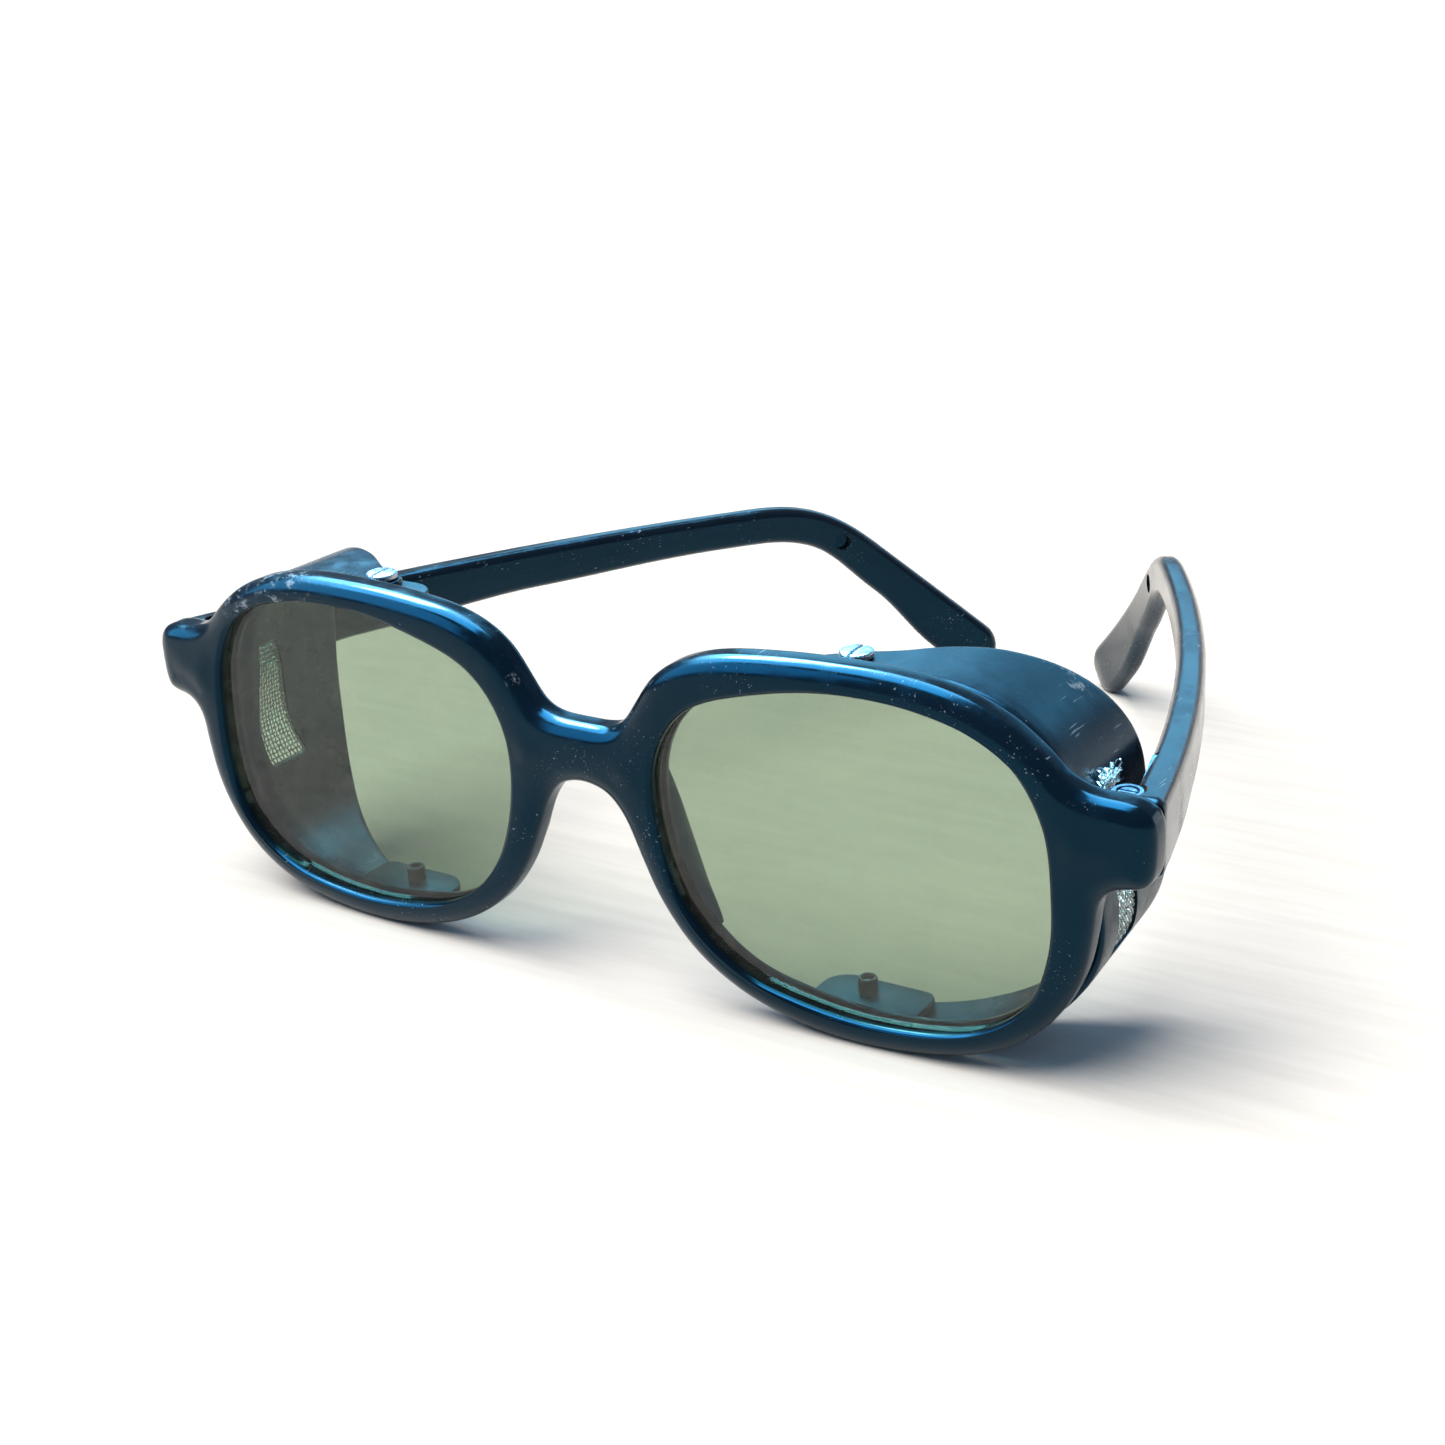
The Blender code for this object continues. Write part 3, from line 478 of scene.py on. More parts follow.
def moulded_plastic(name, deep, pale, gloss, spots, bloom=0.0):
    """Dark glossy moulded plastic with handling marks, fine scratches, dust and pale scuffs at spots."""
    mat = new_material(name)
    here = place_in_mm(mat)
    cloud = noise(mat, here, 0.06, 4.0)
    colour = mix_colour(mat, spread(mat, cloud, 0.35, 0.68), deep, pale)
    smear = spread(mat, noise(mat, here, 0.22, 6.0, 0.65), 0.38, 0.72)
    one_way = scratches(mat, (0.3, 0.9, 0.4), 2.6, 0.5)
    other_way = scratches(mat, (1.1, 0.2, 1.9), 3.1, 0.5)
    marks = maths(mat, 'MAXIMUM', one_way, other_way)
    cell = add(mat, 'ShaderNodeTexVoronoi', Vector=here, Scale=0.36)
    size = spread(mat, cell.outputs['Distance'], 0.02, 0.05, 1.0, 0.0)
    pick = add(mat, 'ShaderNodeSeparateColor', Color=cell.outputs['Color']).outputs[0]
    specks = maths(mat, 'MULTIPLY', size, spread(mat, pick, 0.88, 0.92))
    worn = maths(mat, 'MAXIMUM', marks, maths(mat, 'MULTIPLY', specks, 0.5))
    grit = noise(mat, here, 1.9, 5.0, 0.7)
    cloudy = noise(mat, place_in_mm(mat, (1.0, 1.6, 1.6)), 0.55, 6.0, 0.75)
    for spot, reach in spots:
        rub = maths(mat, 'MULTIPLY', near(mat, spot, reach), spread(mat, cloudy, 0.50, 0.66, 0.0, 0.75))
        worn = maths(mat, 'MAXIMUM', worn, rub)
    colour = mix_colour(mat, worn, colour, (0.34, 0.40, 0.46))
    smeared = spread(mat, smear, 0.0, 1.0, gloss, gloss + 0.13)
    rough = maths(mat, 'ADD', smeared, maths(mat, 'MULTIPLY', worn, 0.35))
    swell = noise(mat, here, 0.16, 2.0)
    height = maths(mat, 'ADD', maths(mat, 'MULTIPLY', swell, 0.6), maths(mat, 'MULTIPLY', grit, 0.03))
    height = maths(mat, 'SUBTRACT', height, maths(mat, 'MULTIPLY', worn, 0.05))
    bump = add(mat, 'ShaderNodeBump', Height=height, Strength=0.35, Distance=0.00018).outputs['Normal']
    shader = add(mat, 'ShaderNodeBsdfPrincipled', Base_Color=colour, Roughness=rough, Normal=bump)
    shader.inputs['IOR'].default_value = 1.52
    shader.inputs['Specular Tint'].default_value = (0.12, 0.60, 1.0, 1.0)
    shader.inputs['Specular IOR Level'].default_value = 0.34
    shader.inputs['Sheen Weight'].default_value = bloom
    shader.inputs['Sheen Roughness'].default_value = 0.35
    shader.inputs['Sheen Tint'].default_value = (1.0, 0.93, 0.86, 1.0)
    return output(mat, shader.outputs[0])


def tinted_glass(name):
    """Thin green glass: each face lets through the root of the whole tint, and carries a film of dust."""
    mat = new_material(name)
    here = place_in_mm(mat)
    cloud = spread(mat, noise(mat, here, 0.05, 3.0), 0.35, 0.7)
    tint = mix_colour(mat, cloud, (0.538, 0.620, 0.524), (0.562, 0.638, 0.538))
    clear = add(mat, 'ShaderNodeBsdfTransparent', Color=tint).outputs[0]
    film = noise(mat, place_in_mm(mat, (1, 1, 1.6), (0.2, 0.5, 0.1)), 0.35, 7.0, 0.7)
    thin_film = spread(mat, film, 0.35, 0.8, 0.006, 0.05)
    dust = maths(mat, 'ADD', thin_film, scratches(mat, (0.2, 0.7, 1.2), 2.8, 0.06))
    haze = add(mat, 'ShaderNodeBsdfDiffuse', Color=(0.60, 0.56, 0.50, 1.0)).outputs[0]
    glass = add(mat, 'ShaderNodeMixShader', i0=dust, i1=clear, i2=haze).outputs[0]
    rough = spread(mat, film, 0.4, 0.75, 0.02, 0.09)
    swell = noise(mat, here, 0.05, 1.0)
    bump = add(mat, 'ShaderNodeBump', Height=swell, Strength=0.12, Distance=0.0004).outputs['Normal']
    shine = add(mat, 'ShaderNodeBsdfGlossy', Color=(0.95, 0.97, 1.0, 1.0), Roughness=rough, Normal=bump)
    facing = add(mat, 'ShaderNodeLayerWeight', Blend=0.5).outputs['Facing']
    mirror = maths(mat, 'MULTIPLY_ADD', maths(mat, 'POWER', facing, 5.0), 0.7)
    mirror.node.inputs[2].default_value = 0.035
    return output(mat, add(mat, 'ShaderNodeMixShader', i0=mirror, i1=glass, i2=shine.outputs[0]).outputs[0])


def worn_metal(name, bright, dull, low, high, scale):
    """Metal with fine turning marks and tarnish."""
    mat = new_material(name)
    here = place_in_mm(mat)
    stain = spread(mat, noise(mat, here, 0.9, 5.0, 0.65), 0.4, 0.68)
    colour = mix_colour(mat, stain, bright, dull)
    rough = spread(mat, noise(mat, here, scale, 4.0), 0.3, 0.75, low, high)
    turning = noise(mat, here, scale * 1.7, 3.0)
    bump = add(mat, 'ShaderNodeBump', Height=turning, Strength=0.3, Distance=0.00004)
    shader = add(mat, 'ShaderNodeBsdfPrincipled', Base_Color=colour, Roughness=rough,
                 Normal=bump.outputs['Normal'])
    shader.inputs['Metallic'].default_value = 1.0
    return output(mat, shader.outputs[0])


# ---------------------------------------------------------------- the front
def front_loops():
    """The front's outline and both lens openings, as even closed loops."""
    half = spline(front_half_outline(), False, OUTLINE_STEP)
    outer = smooth_loop(half + [Vector((-p.x, p.y)) for p in reversed(half[1:-1])], 6)
    opening = smooth_loop(spline(opening_outline(), True, OUTLINE_STEP), 6)
    other = [Vector((-p.x, p.y)) for p in reversed(opening)]
    return outer, opening, other


def cap_points(rim, holes):
    """Vertices and triangles of a flat plate with holes, in X and Z."""
    loops = [rim] + holes
    verts = []
    edges = []
    for loop in loops:
        first = len(verts)
        verts += loop
        edges += [(first + i, first + (i + 1) % len(loop)) for i in range(len(loop))]
    tree = kdtree.KDTree(len(verts))
    for i, p in enumerate(verts):
        tree.insert((p.x, p.y, 0), i)
    tree.balance()
    xs = [p.x for p in rim]
    ys = [p.y for p in rim]
    grid = []
    rows = int((max(ys) - min(ys)) / (CAP_STEP * 0.87)) + 1
    columns = int((max(xs) - min(xs)) / CAP_STEP) + 2
    for j in range(rows):
        for i in range(columns):
            p = Vector((min(xs) + (i + 0.5 * (j % 2)) * CAP_STEP, min(ys) + j * CAP_STEP * 0.87))
            if tree.find((p.x, p.y, 0))[2] > CAP_STEP * 0.55 and inside(p, rim):
                if not any(inside(p, h) for h in holes):
                    grid.append(p)
    found = geometry.delaunay_2d_cdt(verts + grid, edges, [], 0, 1e-5)
    points = found[0]
    faces = []
    for f in found[2]:
        middle = sum((points[i] for i in f), Vector((0, 0))) / len(f)
        if inside(middle, rim) and not any(inside(middle, h) for h in holes):
            faces.append(f)
    away = [tree.find((p.x, p.y, 0))[2] for p in points]
    return points, faces, away


def narrowed(p, y):
    """The lugs' rear edges are sharper than the rest, where the temples meet them."""
    if y < FRONT_DEPTH / 2:
        return 1.0
    return 1.0 + (LUG_ROUND / REAR_ROUND - 1.0) * smoothstep((abs(p.x) - 64.5) / 2.5)


def build_front():
    """The moulded front: rims with domed faces and lens grooves, hinge pockets, ledges and nose rests."""
    outer, opening, other = front_loops()
    arc = [(1 - sin(radians(a)), 1 - cos(radians(a))) for a in range(0, 91, 10)]
    r2 = REAR_ROUND
    r3 = LIP_ROUND
    outer_profile = [(BEVEL_WIDE * a, BEVEL_DEEP * b) for a, b in arc]
    outer_profile += [(r2 * a, FRONT_DEPTH - r2 * b) for a, b in reversed(arc)]
    inner_profile = [(r3 * a, r3 * b) for a, b in arc]
    inner_profile += [(0, GROOVE_FRONT), (GROOVE_DEEP, GROOVE_FRONT)]
    inner_profile += [(GROOVE_DEEP, GROOVE_REAR), (0, GROOVE_REAR)]
    inner_profile += [(0.5 * a, FRONT_DEPTH - 0.5 * b) for a, b in reversed(arc[::3])]
    bm = bmesh.new()
    caps = ([], [])
    edges = ((outer, outer_profile, 1), (opening, inner_profile, -1), (other, inner_profile, -1))
    for loop, profile, into in edges:
        normals = loop_normals(loop)
        turn = into if signed_area(loop) > 0 else -into
        rings = []
        for inset, y in profile:
            pts = [p + n * (inset * turn * narrowed(p, y)) for p, n in zip(loop, normals)]
            rings.append([bm.verts.new((p.x, y, p.y)) for p in pts])
            if y == 0:
                caps[0].append(pts)
            if abs(y - FRONT_DEPTH) < 1e-9:
                caps[1].append(pts)
        for a, b in zip(rings, rings[1:]):
            bridge_rings(bm, a, b)
    for loops, y, rise in ((caps[0], 0.0, -CROWN), (caps[1], FRONT_DEPTH, CROWN * 0.4)):
        points, faces, away = cap_points(loops[0], loops[1:])
        domed = [y + rise * smoothstep(d / CROWN_WIDE) for d in away]
        verts = [bm.verts.new((p.x, depth, p.y)) for p, depth in zip(points, domed)]
        for f in faces:
            bm.faces.new([verts[i] for i in f])
    front = mesh_object("front_moulding", bm, 2e-3)
    cutters = []
    for side in (1, -1):
        x0, x1 = sorted((side * (HINGE_X - POCKET_IN), side * (HINGE_X + POCKET_OUT)))
        floor = FRONT_DEPTH - LEAF_THICK - LEAF_GAP
        cutters.append(box("pocket", x0, x1, floor, FRONT_DEPTH + 1, POCKET_FOOT, POCKET_TOP))
    combine(front, cutters, 'DIFFERENCE')
    move_points(front, lambda c: (c.x, c.y + fall_back(c.x), c.z))
    extra = []
    for side in (1, -1):
        extra += [ledge(side, LEDGE_TOP_Z - LEDGE_THICK), ledge(side, LEDGE_LOW_Z), nose_rest(side)]
    return join("front_moulding", [front] + extra)


def ledge(side, low):
    """A shield ledge with rounded edges and its screw hole."""
    outline = round_box_outline(LEDGE_INNER, LEDGE_OUTER, LEDGE_ROOT, LEDGE_REAR, (1.6, 3.4, 0, 0))
    middle = Vector(((LEDGE_INNER + LEDGE_OUTER) / 2, 7.5))
    lower = [(inset, low + LEDGE_EDGE * rise) for inset, rise in ((1.0, 0.0), (0.3, 0.3), (0.0, 1.0))]
    upper = [(inset, 2 * low + LEDGE_THICK - z) for inset, z in reversed(lower)]
    rings = []
    for inset, z in lower + upper:
        ring = []
        for p in map(Vector, outline):
            q = p - (p - middle).normalized() * LEDGE_EDGE * inset
            ring.append((side * q.x, q.y, z))
        rings.append(ring)
    plate = loft("ledge", rings)
    z = low + LEDGE_THICK / 2
    hole = turned("hole", side * PIVOT_X, PIVOT_Y, [(LEDGE_HOLE_R, z - 1.2), (LEDGE_HOLE_R, z + 1.2)])
    return combine(plate, [hole], 'DIFFERENCE')


def nose_rest(side):
    """Swelling on the rear of the rim beside the nose."""
    line = spline([(8.6, 1.0), (8.9, -4.5), (9.9, -10.0), (12.3, -15.4), (16.0, -19.8)], False, 0.6)
    rings = []
    for i, p in enumerate(line):
        share = i / (len(line) - 1)
        swell = sin(pi * share) ** 0.7 if 0 < share < 1 else 0.0
        depth = 0.1 + 3.1 * swell
        wide = 1.0 + 0.55 * swell
        along = (line[min(i + 1, len(line) - 1)] - line[max(i - 1, 0)]).normalized()
        across = Vector((along.y, -along.x))
        base = rear_face(p.x) - 0.8
        ring = []
        for k in range(17):
            a = pi * k / 16
            back = 0.8 + depth * sin(a) if 0 < k < 16 else 0.0
            q = p - across * (wide * cos(a))
            ring.append((side * (q.x + 0.21 * depth * sin(a)), base + back, q.y))
        rings.append(ring)
    return loft("nose_rest", rings)


# ---------------------------------------------------------------- lenses
def build_lens():
    """Glass with a ground bevel round its edge, following the front's curve."""
    edge = smooth_loop(spline(opening_outline(), True, OUTLINE_STEP), 6)
    turn = -1 if signed_area(edge) > 0 else 1
    edge = [p + n * (LENS_OVERSIZE * turn) for p, n in zip(edge, loop_normals(edge))]
    middle = sum(edge, Vector((0, 0))) / len(edge)
    bm = bmesh.new()
    walls = []
    for y, sign in ((LENS_FRONT, 1), (LENS_REAR, -1)):
        hub = bm.verts.new((middle.x, y, middle.y))
        rings = []
        for share in (0.1, 0.22, 0.34, 0.46, 0.58, 0.7, 0.82, 0.92, 0.985):
            rings.append([bm.verts.new((q.x, y, q.y)) for q in (middle.lerp(p, share) for p in edge)])
        for i in range(len(edge)):
            bm.faces.new((hub, rings[0][i], rings[0][(i + 1) % len(edge)]))
        wall = [bm.verts.new((q.x, y + sign * 0.4, q.y)) for q in edge]
        for a, b in zip(rings, rings[1:] + [wall]):
            bridge_rings(bm, a, b)
        walls.append(wall)
    bridge_rings(bm, walls[0], walls[1])
    lens = mesh_object("lens_glass_left", bm)
    return move_points(lens, lambda c: (c.x, c.y + fall_back(c.x), c.z))


# ---------------------------------------------------------------- side shields
def shield_rear_edge(x, z):
    """How far back the shield reaches, as a function of its place on the path."""
    start = [(PIVOT_X, PIVOT_Y + TAB_RADIUS)]
    end = [(63.2, 27.5), (64.2, 28.4)]
    top = [(38.0, 12.4), (42.0, 16.0), (47.0, 18.6), (52.0, 21.2), (57.0, 24.4), (60.5, 26.2), (62.2, 26.7)]
    low = [(38.0, 11.2), (41.6, 12.3), (45.1, 14.2), (52.0, 18.4), (55.8, 21.1), (59.1, 23.8), (61.6, 26.0)]
    line = start + (top if z > -6 else low) + end
    for (x0, y0), (x1, y1) in zip(line, line[1:]):
        if x <= x1:
            return y0 + (y1 - y0) * max(0.0, (x - x0) / (x1 - x0))
    return line[-1][1]


def shield_stations(step):
    """Places along the wall: point, outward normal, front edge and rear edge."""
    path = spline(shield_path(), False, step)
    n = len(path)
    rear = [shield_rear_edge(p.x, p.y) for p in path]
    for _ in range(round(8 / step)):
        inner = [(a + 2 * b + c) / 4 for a, b, c in zip(rear, rear[1:], rear[2:])]
        rear = [rear[0]] + inner + [rear[-1]]
    stations = []
    for i, p in enumerate(path):
        along = (path[min(i + 1, n - 1)] - path[max(i - 1, 0)]).normalized()
        front = max(rear_face(p.x) + SHIELD_SEAT, PIVOT_Y - TAB_RADIUS)
        stations.append((p, Vector((-along.y, along.x)), front, rear[i]))
    head = []
    tail = []
    for k in range(18, 0, -1):
        a = radians(87 * k / 18)
        reach = Vector((TAB_RADIUS * sin(a), 0))
        half = TAB_RADIUS * cos(a)
        head.append((path[0] - reach, Vector((0, 1)), PIVOT_Y - half, PIVOT_Y + half))
        tail.insert(0, (path[-1] - reach, Vector((0, -1)), PIVOT_Y - half, PIVOT_Y + half))
    stations[0] = (path[0], Vector((0, 1)), PIVOT_Y - TAB_RADIUS, PIVOT_Y + TAB_RADIUS)
    stations[-1] = (path[-1], Vector((0, -1)), PIVOT_Y - TAB_RADIUS, PIVOT_Y + TAB_RADIUS)
    return head + stations + tail


def shield_point(station, y, offset):
    """A point of the shield's wall; the cup leans in towards the head further back."""
    p, out, front, rear = station
    lean = 0.055 * max(0.0, y - 9.0) * min(1.0, max(0.0, (p.x - 40.0) / 18.0))
    q = p + out * (offset - lean)
    return (q.x, y, q.y)


def build_shield():
    """Moulded cup wall with rounded edges, a mesh window and screw holes."""
    stations = shield_stations(0.7)
    rows = 26
    r = SHIELD_THICK / 2
    bm = bmesh.new()
    rings = []
    for station in stations:
        front, rear = station[2], station[3]
        soft = min(r, (rear - front) * 0.45)
        ring = []
        for k in range(rows + 1):
            ring.append(shield_point(station, front + soft + (rear - front - 2 * soft) * k / rows, r))
        for k in range(1, 6):
            a = pi / 2 - pi * k / 6
            ring.append(shield_point(station, rear - soft + soft * cos(a), r * sin(a)))
        for k in range(rows + 1):
            ring.append(shield_point(station, rear - soft - (rear - front - 2 * soft) * k / rows, -r))
        for k in range(1, 6):
            a = -pi / 2 + pi * k / 6
            ring.append(shield_point(station, front + soft - soft * cos(a), r * sin(a)))
        rings.append([bm.verts.new(p) for p in ring])
    for a, b in zip(rings, rings[1:]):
        bridge_rings(bm, a, b)
    bm.faces.new(rings[0])
    bm.faces.new(rings[-1])
    shield = mesh_object("shield_cup_left", bm)
    corners = []
    for z, front, rear in (WINDOW_TOP, WINDOW_FOOT):
        corners += [(front, z), (rear, z)]
    outline = round_corners([corners[k] for k in (0, 1, 3, 2)], WINDOW_ROUND)
    cutters = [prism("window", outline, 54.0, 70.0, lambda u, v, w: (w, u, v))]
    for z in (TAB_HIGH, TAB_DEEP):
        cutters.append(turned("tab_hole", PIVOT_X, PIVOT_Y, [(TAB_HOLE_R, z - 1.5), (TAB_HOLE_R, z + 1.5)]))
    return combine(shield, cutters, 'DIFFERENCE')


def wire(bm, points, r, sides=6):
    """A round wire along points."""
    rings = []
    for i, p in enumerate(points):
        along = (points[min(i + 1, len(points) - 1)] - points[max(i - 1, 0)]).normalized()
        across = along.orthogonal().normalized() if i == 0 else across - along * across.dot(along)
        across = across.normalized()
        other = along.cross(across)
        ring = []
        for k in range(sides):
            a = 2 * pi * k / sides
            ring.append(bm.verts.new(p + (across * cos(a) + other * sin(a)) * r))
        rings.append(ring)
    for a, b in zip(rings, rings[1:]):
        bridge_rings(bm, a, b)
    bm.faces.new(rings[0])
    bm.faces.new(list(reversed(rings[-1])))


def window_point(side, y, z, offset):
    """A point of the wire cloth y back at height z, offset out from the middle of the wall's stations."""
    station = min(side, key=lambda s: abs(s[0].y - z))
    return Vector(shield_point(station, y, offset))


def build_mesh(name, torn):
    """Plain-woven wire cloth let into the wall's window; torn frays its upper edge."""
    side = [s for s in shield_stations(0.12) if s[0].x > 55.0]
    reach = 0.5
    z0 = WINDOW_FOOT[0] - reach
    z1 = WINDOW_TOP[0] + reach
    rows = round((z1 - z0) / WIRE_PITCH)
    columns = round((WINDOW_FOOT[2] - WINDOW_FOOT[1] + 2 * reach) / WIRE_PITCH)
    pitch = (z1 - z0) / rows
    chance = random.Random(7)
    bm = bmesh.new()

    def spot(i, z, offset):
        front = window_edge(z, 1) - reach
        rear = window_edge(z, 2) + reach
        return window_point(side, front + (rear - front) * i / columns, z, offset)

    for i in range(columns + 1):
        stop = z1 - (0.2 + 1.4 * chance.random() if torn else 0.0)
        pts = []
        for k in range(rows * 4 + 1):
            z = z0 + pitch * k / 4
            if z <= stop:
                wave = WIRE_R * cos(pi * k / 4 + pi * i)
                pts.append(spot(i + 0.05 * sin(3.1 * z + i), z, wave))
        wire(bm, pts, WIRE_R)
    for j in range(rows + 1):
        z = z0 + pitch * j
        first = 4 * round(3 * chance.random()) if torn and j > rows - 4 else 0
        pts = []
        for k in range(first, columns * 4 + 1):
            wave = -WIRE_R * cos(pi * k / 4 + pi * j)
            pts.append(spot(k / 4, z + 0.04 * sin(2.7 * k + j), wave))
        if len(pts) > 3:
            wire(bm, pts, WIRE_R)
    if torn:
        woven = len(bm.faces)
        fray(bm, side, z1, chance)
        bm.faces.ensure_lookup_table()
        for face in bm.faces[woven:]:
            face.material_index = 1
    return mesh_object(name, bm, 1e-6)


def fray(bm, side, z1, chance):
    """A tuft of bent wire ends pulled up and outwards from the cloth's torn upper edge."""
    for k in range(FRAY_WIRES):
        y = chance.uniform(12.4, 15.2)
        root = window_point(side, y, z1 - 0.6 * chance.random(), 0.45)
        heading = Vector((chance.uniform(-0.1, 0.45), chance.uniform(-0.35, 0.45), 1.0)).normalized()
        long = chance.uniform(1.2, 3.9)
        across = Vector((chance.uniform(-1, 1), chance.uniform(-1, 1), chance.uniform(-0.4, 0.4)))
        pts = []
        for i in range(12):
            t = i / 11
            sway = across * (0.55 * t * sin(5.0 * t + k) + 0.18 * sin(17 * t + 2 * k) * t)
            pts.append(root + heading * (long * t) + sway)
        wire(bm, pts, WIRE_R * 0.8, 5)


# ---------------------------------------------------------------- screws
def build_screw(name, up):
    """Slotted screw; up is +1 for the upper pair and -1 for the lower."""
    tab_face = (LEDGE_TOP_Z if up > 0 else LEDGE_LOW_Z) + up * (TAB_GAP + SHIELD_THICK + HEAD_LIFT)
    r, high = HEAD_TOP if up > 0 else HEAD_LOW
    inner = (LEDGE_TOP_Z - LEDGE_THICK if up > 0 else LEDGE_LOW_Z + LEDGE_THICK) - up * 0.25
    tip = inner - up * (SLEEVE_LONG - 0.6)
    profile = [(SCREW_R * 0.8, tip), (SCREW_R, tip + up * 0.15), (SCREW_R, tab_face), (r - 0.12, tab_face)]
    profile += [(r, tab_face + up * 0.12), (r, tab_face + up * (high - 0.42))]
    for a in range(15, 91, 15):
        turn = radians(a)
        out = r - HEAD_ROUND + HEAD_ROUND * cos(turn)
        profile.append((out, tab_face + up * (high - 0.42 + HEAD_ROUND * sin(turn))))
    profile += [(r * 0.5, tab_face + up * (high - 0.04)), (r * 0.15, tab_face + up * high)]
    screw = turned(name, PIVOT_X, PIVOT_Y, profile, 56)
    z0, z1 = sorted((tab_face + up * (high - SLOT_DEEP), tab_face + up * (high + 1)))
    slot = box("slot", PIVOT_X - SLOT_HALF, PIVOT_X + SLOT_HALF, PIVOT_Y - 3, PIVOT_Y + 3, z0, z1)
    return combine(screw, [slot], 'DIFFERENCE')


# ---------------------------------------------------------------- temples
def temple_height(s):
    """Height of the bar s mm along its top edge."""
    table = [(0, 9.3), (14, 8.9), (28, 7.7), (60, 6.3), (90, 5.6), (112, 5.7), (130, 6.5), (145, 8.2),
             (TEMPLE_LONG, 8.4)]
    for (s0, h0), (s1, h1) in zip(table, table[1:]):
        if s <= s1:
            share = (s - s0) / (s1 - s0)
            return h0 + (h1 - h0) * share * share * (3 - 2 * share)
    return table[-1][1]


def temple_thick(s):
    """Thickness of the bar s mm along its top edge."""
    return TEMPLE_THICK * (1.0 - 0.18 * min(1.0, s / 120.0))


def temple_frames():
    """Top-edge points of the temple with their forward, inward and upward directions."""
    frames = []
    at = Vector(TEMPLE_START)
    fine = 0.5
    for k in range(round(TEMPLE_LONG / fine) + 1):
        s = k * fine
        u = min(1.0, max(0.0, (s - TEMPLE_BEND_AT) / TEMPLE_BEND_OVER + 0.5))
        down = radians(-(TEMPLE_SLOPE + TEMPLE_DROP * u * u * (3 - 2 * u)))
        bow = TEMPLE_BOW * min(s, TEMPLE_BEND_AT)
        curl = TEMPLE_CURL * max(0.0, s - TEMPLE_BEND_AT)
        turn = radians(TEMPLE_TOE_IN + bow + curl)
        ahead = Vector((-sin(turn) * cos(down), cos(turn) * cos(down), sin(down)))
        inward = Vector((-cos(turn), -sin(turn), 0))
        upward = inward.cross(ahead)
        if upward.z < 0:
            upward = -upward
        frames.append((s, at.copy(), ahead, inward, upward))
        at += ahead * fine
    return frames


def temple_ring(found, close=1.0):
    """The bar's section at a frame; close below 1 draws it in towards the rounded tip."""
    s, at, ahead, inward, upward = found
    high = temple_height(s)
    thick = temple_thick(s)
    trim = high * (1 - close) / 2
    thick *= 0.35 + 0.65 * close
    r = min(1.25, thick * 0.42, high * close * 0.4)
    outline = round_box_outline(-thick / 2, thick / 2, -high + trim, -trim, (r, r, r, r), 8)
    dome = 0.12
    ring = []
    for u, v in outline:
        middle = 1 - (2 * (v + high / 2) / high) ** 2
        ring.append(at + inward * (u + dome * middle * (1 if u > 0 else -1) * close) + upward * v)
    return ring


def build_temple():
    """The temple bar with its rounded tip, its front end cut to the front's curve, and the hinge recesses."""
    frames = temple_frames()
    rings = []
    for found in frames:
        s = found[0]
        left = TEMPLE_LONG - s
        if s < 3.0 or left < TEMPLE_TIP or abs(s - round(s)) > 1e-6:
            continue
        rings.append(temple_ring(found))
    for k in range(1, 13):
        a = radians(90 * k / 12)
        left = TEMPLE_TIP * (1 - sin(a))
        found = frames[min(len(frames) - 1, round((TEMPLE_LONG - left) * 2))]
        s, at, ahead, inward, upward = found
        exact = at + ahead * ((TEMPLE_LONG - left) - s)
        rings.append(temple_ring((s, exact, ahead, inward, upward), max(0.25, cos(a))))
    first = []
    ahead = frames[6][2]
    for p in rings[0]:
        q = Vector(p)
        for _ in range(6):
            q += ahead * ((rear_face(q.x) + BUTT_GAP - q.y) / ahead.y)
        first.append(q)
    middle = sum(first, Vector((0, 0, 0))) / len(first)
    tucked = [p.lerp(middle, 0.045) for p in first]
    back = [p + ahead * 0.35 for p in first]
    temple = loft("temple_bar_left", [tucked, back] + rings)
    relief = turned("relief", HINGE_X, HINGE_Y, [(KNUCKLE_R + 0.4, -8), (KNUCKLE_R + 0.4, 10)])
    corner = box("corner", 60.0, HINGE_X + 1.35, 5.0, HINGE_Y, -8, 10)
    cutters = [relief, corner, leaf_box("recess", 5.4, 17.3, 0.65, 4.0, -0.9, 4.7), round_recess(frames)]
    return combine(temple, cutters, 'DIFFERENCE')


def round_recess(frames):
    """Cutter for the shallow round recess in the temple's inner face."""
    s, at, ahead, inward, upward = min(frames, key=lambda f: abs(f[0] - RECESS_AT))
    middle = at - upward * (temple_height(s) / 2)
    face = temple_thick(s) / 2
    return prism("round_recess", circle(0, 0, RECESS_R), face - RECESS_DEEP, face + 2,
                 lambda u, v, w: middle + ahead * u + upward * v + inward * w)


def leaf_box(name, s0, s1, t0, t1, z0, z1):
    """A box along the temple's inner face near the hinge."""
    turn = radians(TEMPLE_TOE_IN + TEMPLE_BOW * 9.0)
    ahead = Vector((-sin(turn), cos(turn), 0))
    inward = Vector((-cos(turn), -sin(turn), 0))
    start = temple_frames()[18][1] - ahead * 9.0

    def place(s, t, z):
        q = start + ahead * s + inward * t
        return (q.x, q.y, z)

    return prism(name, [(s0, t0), (s1, t0), (s1, t1), (s0, t1)], z0, z1, place)


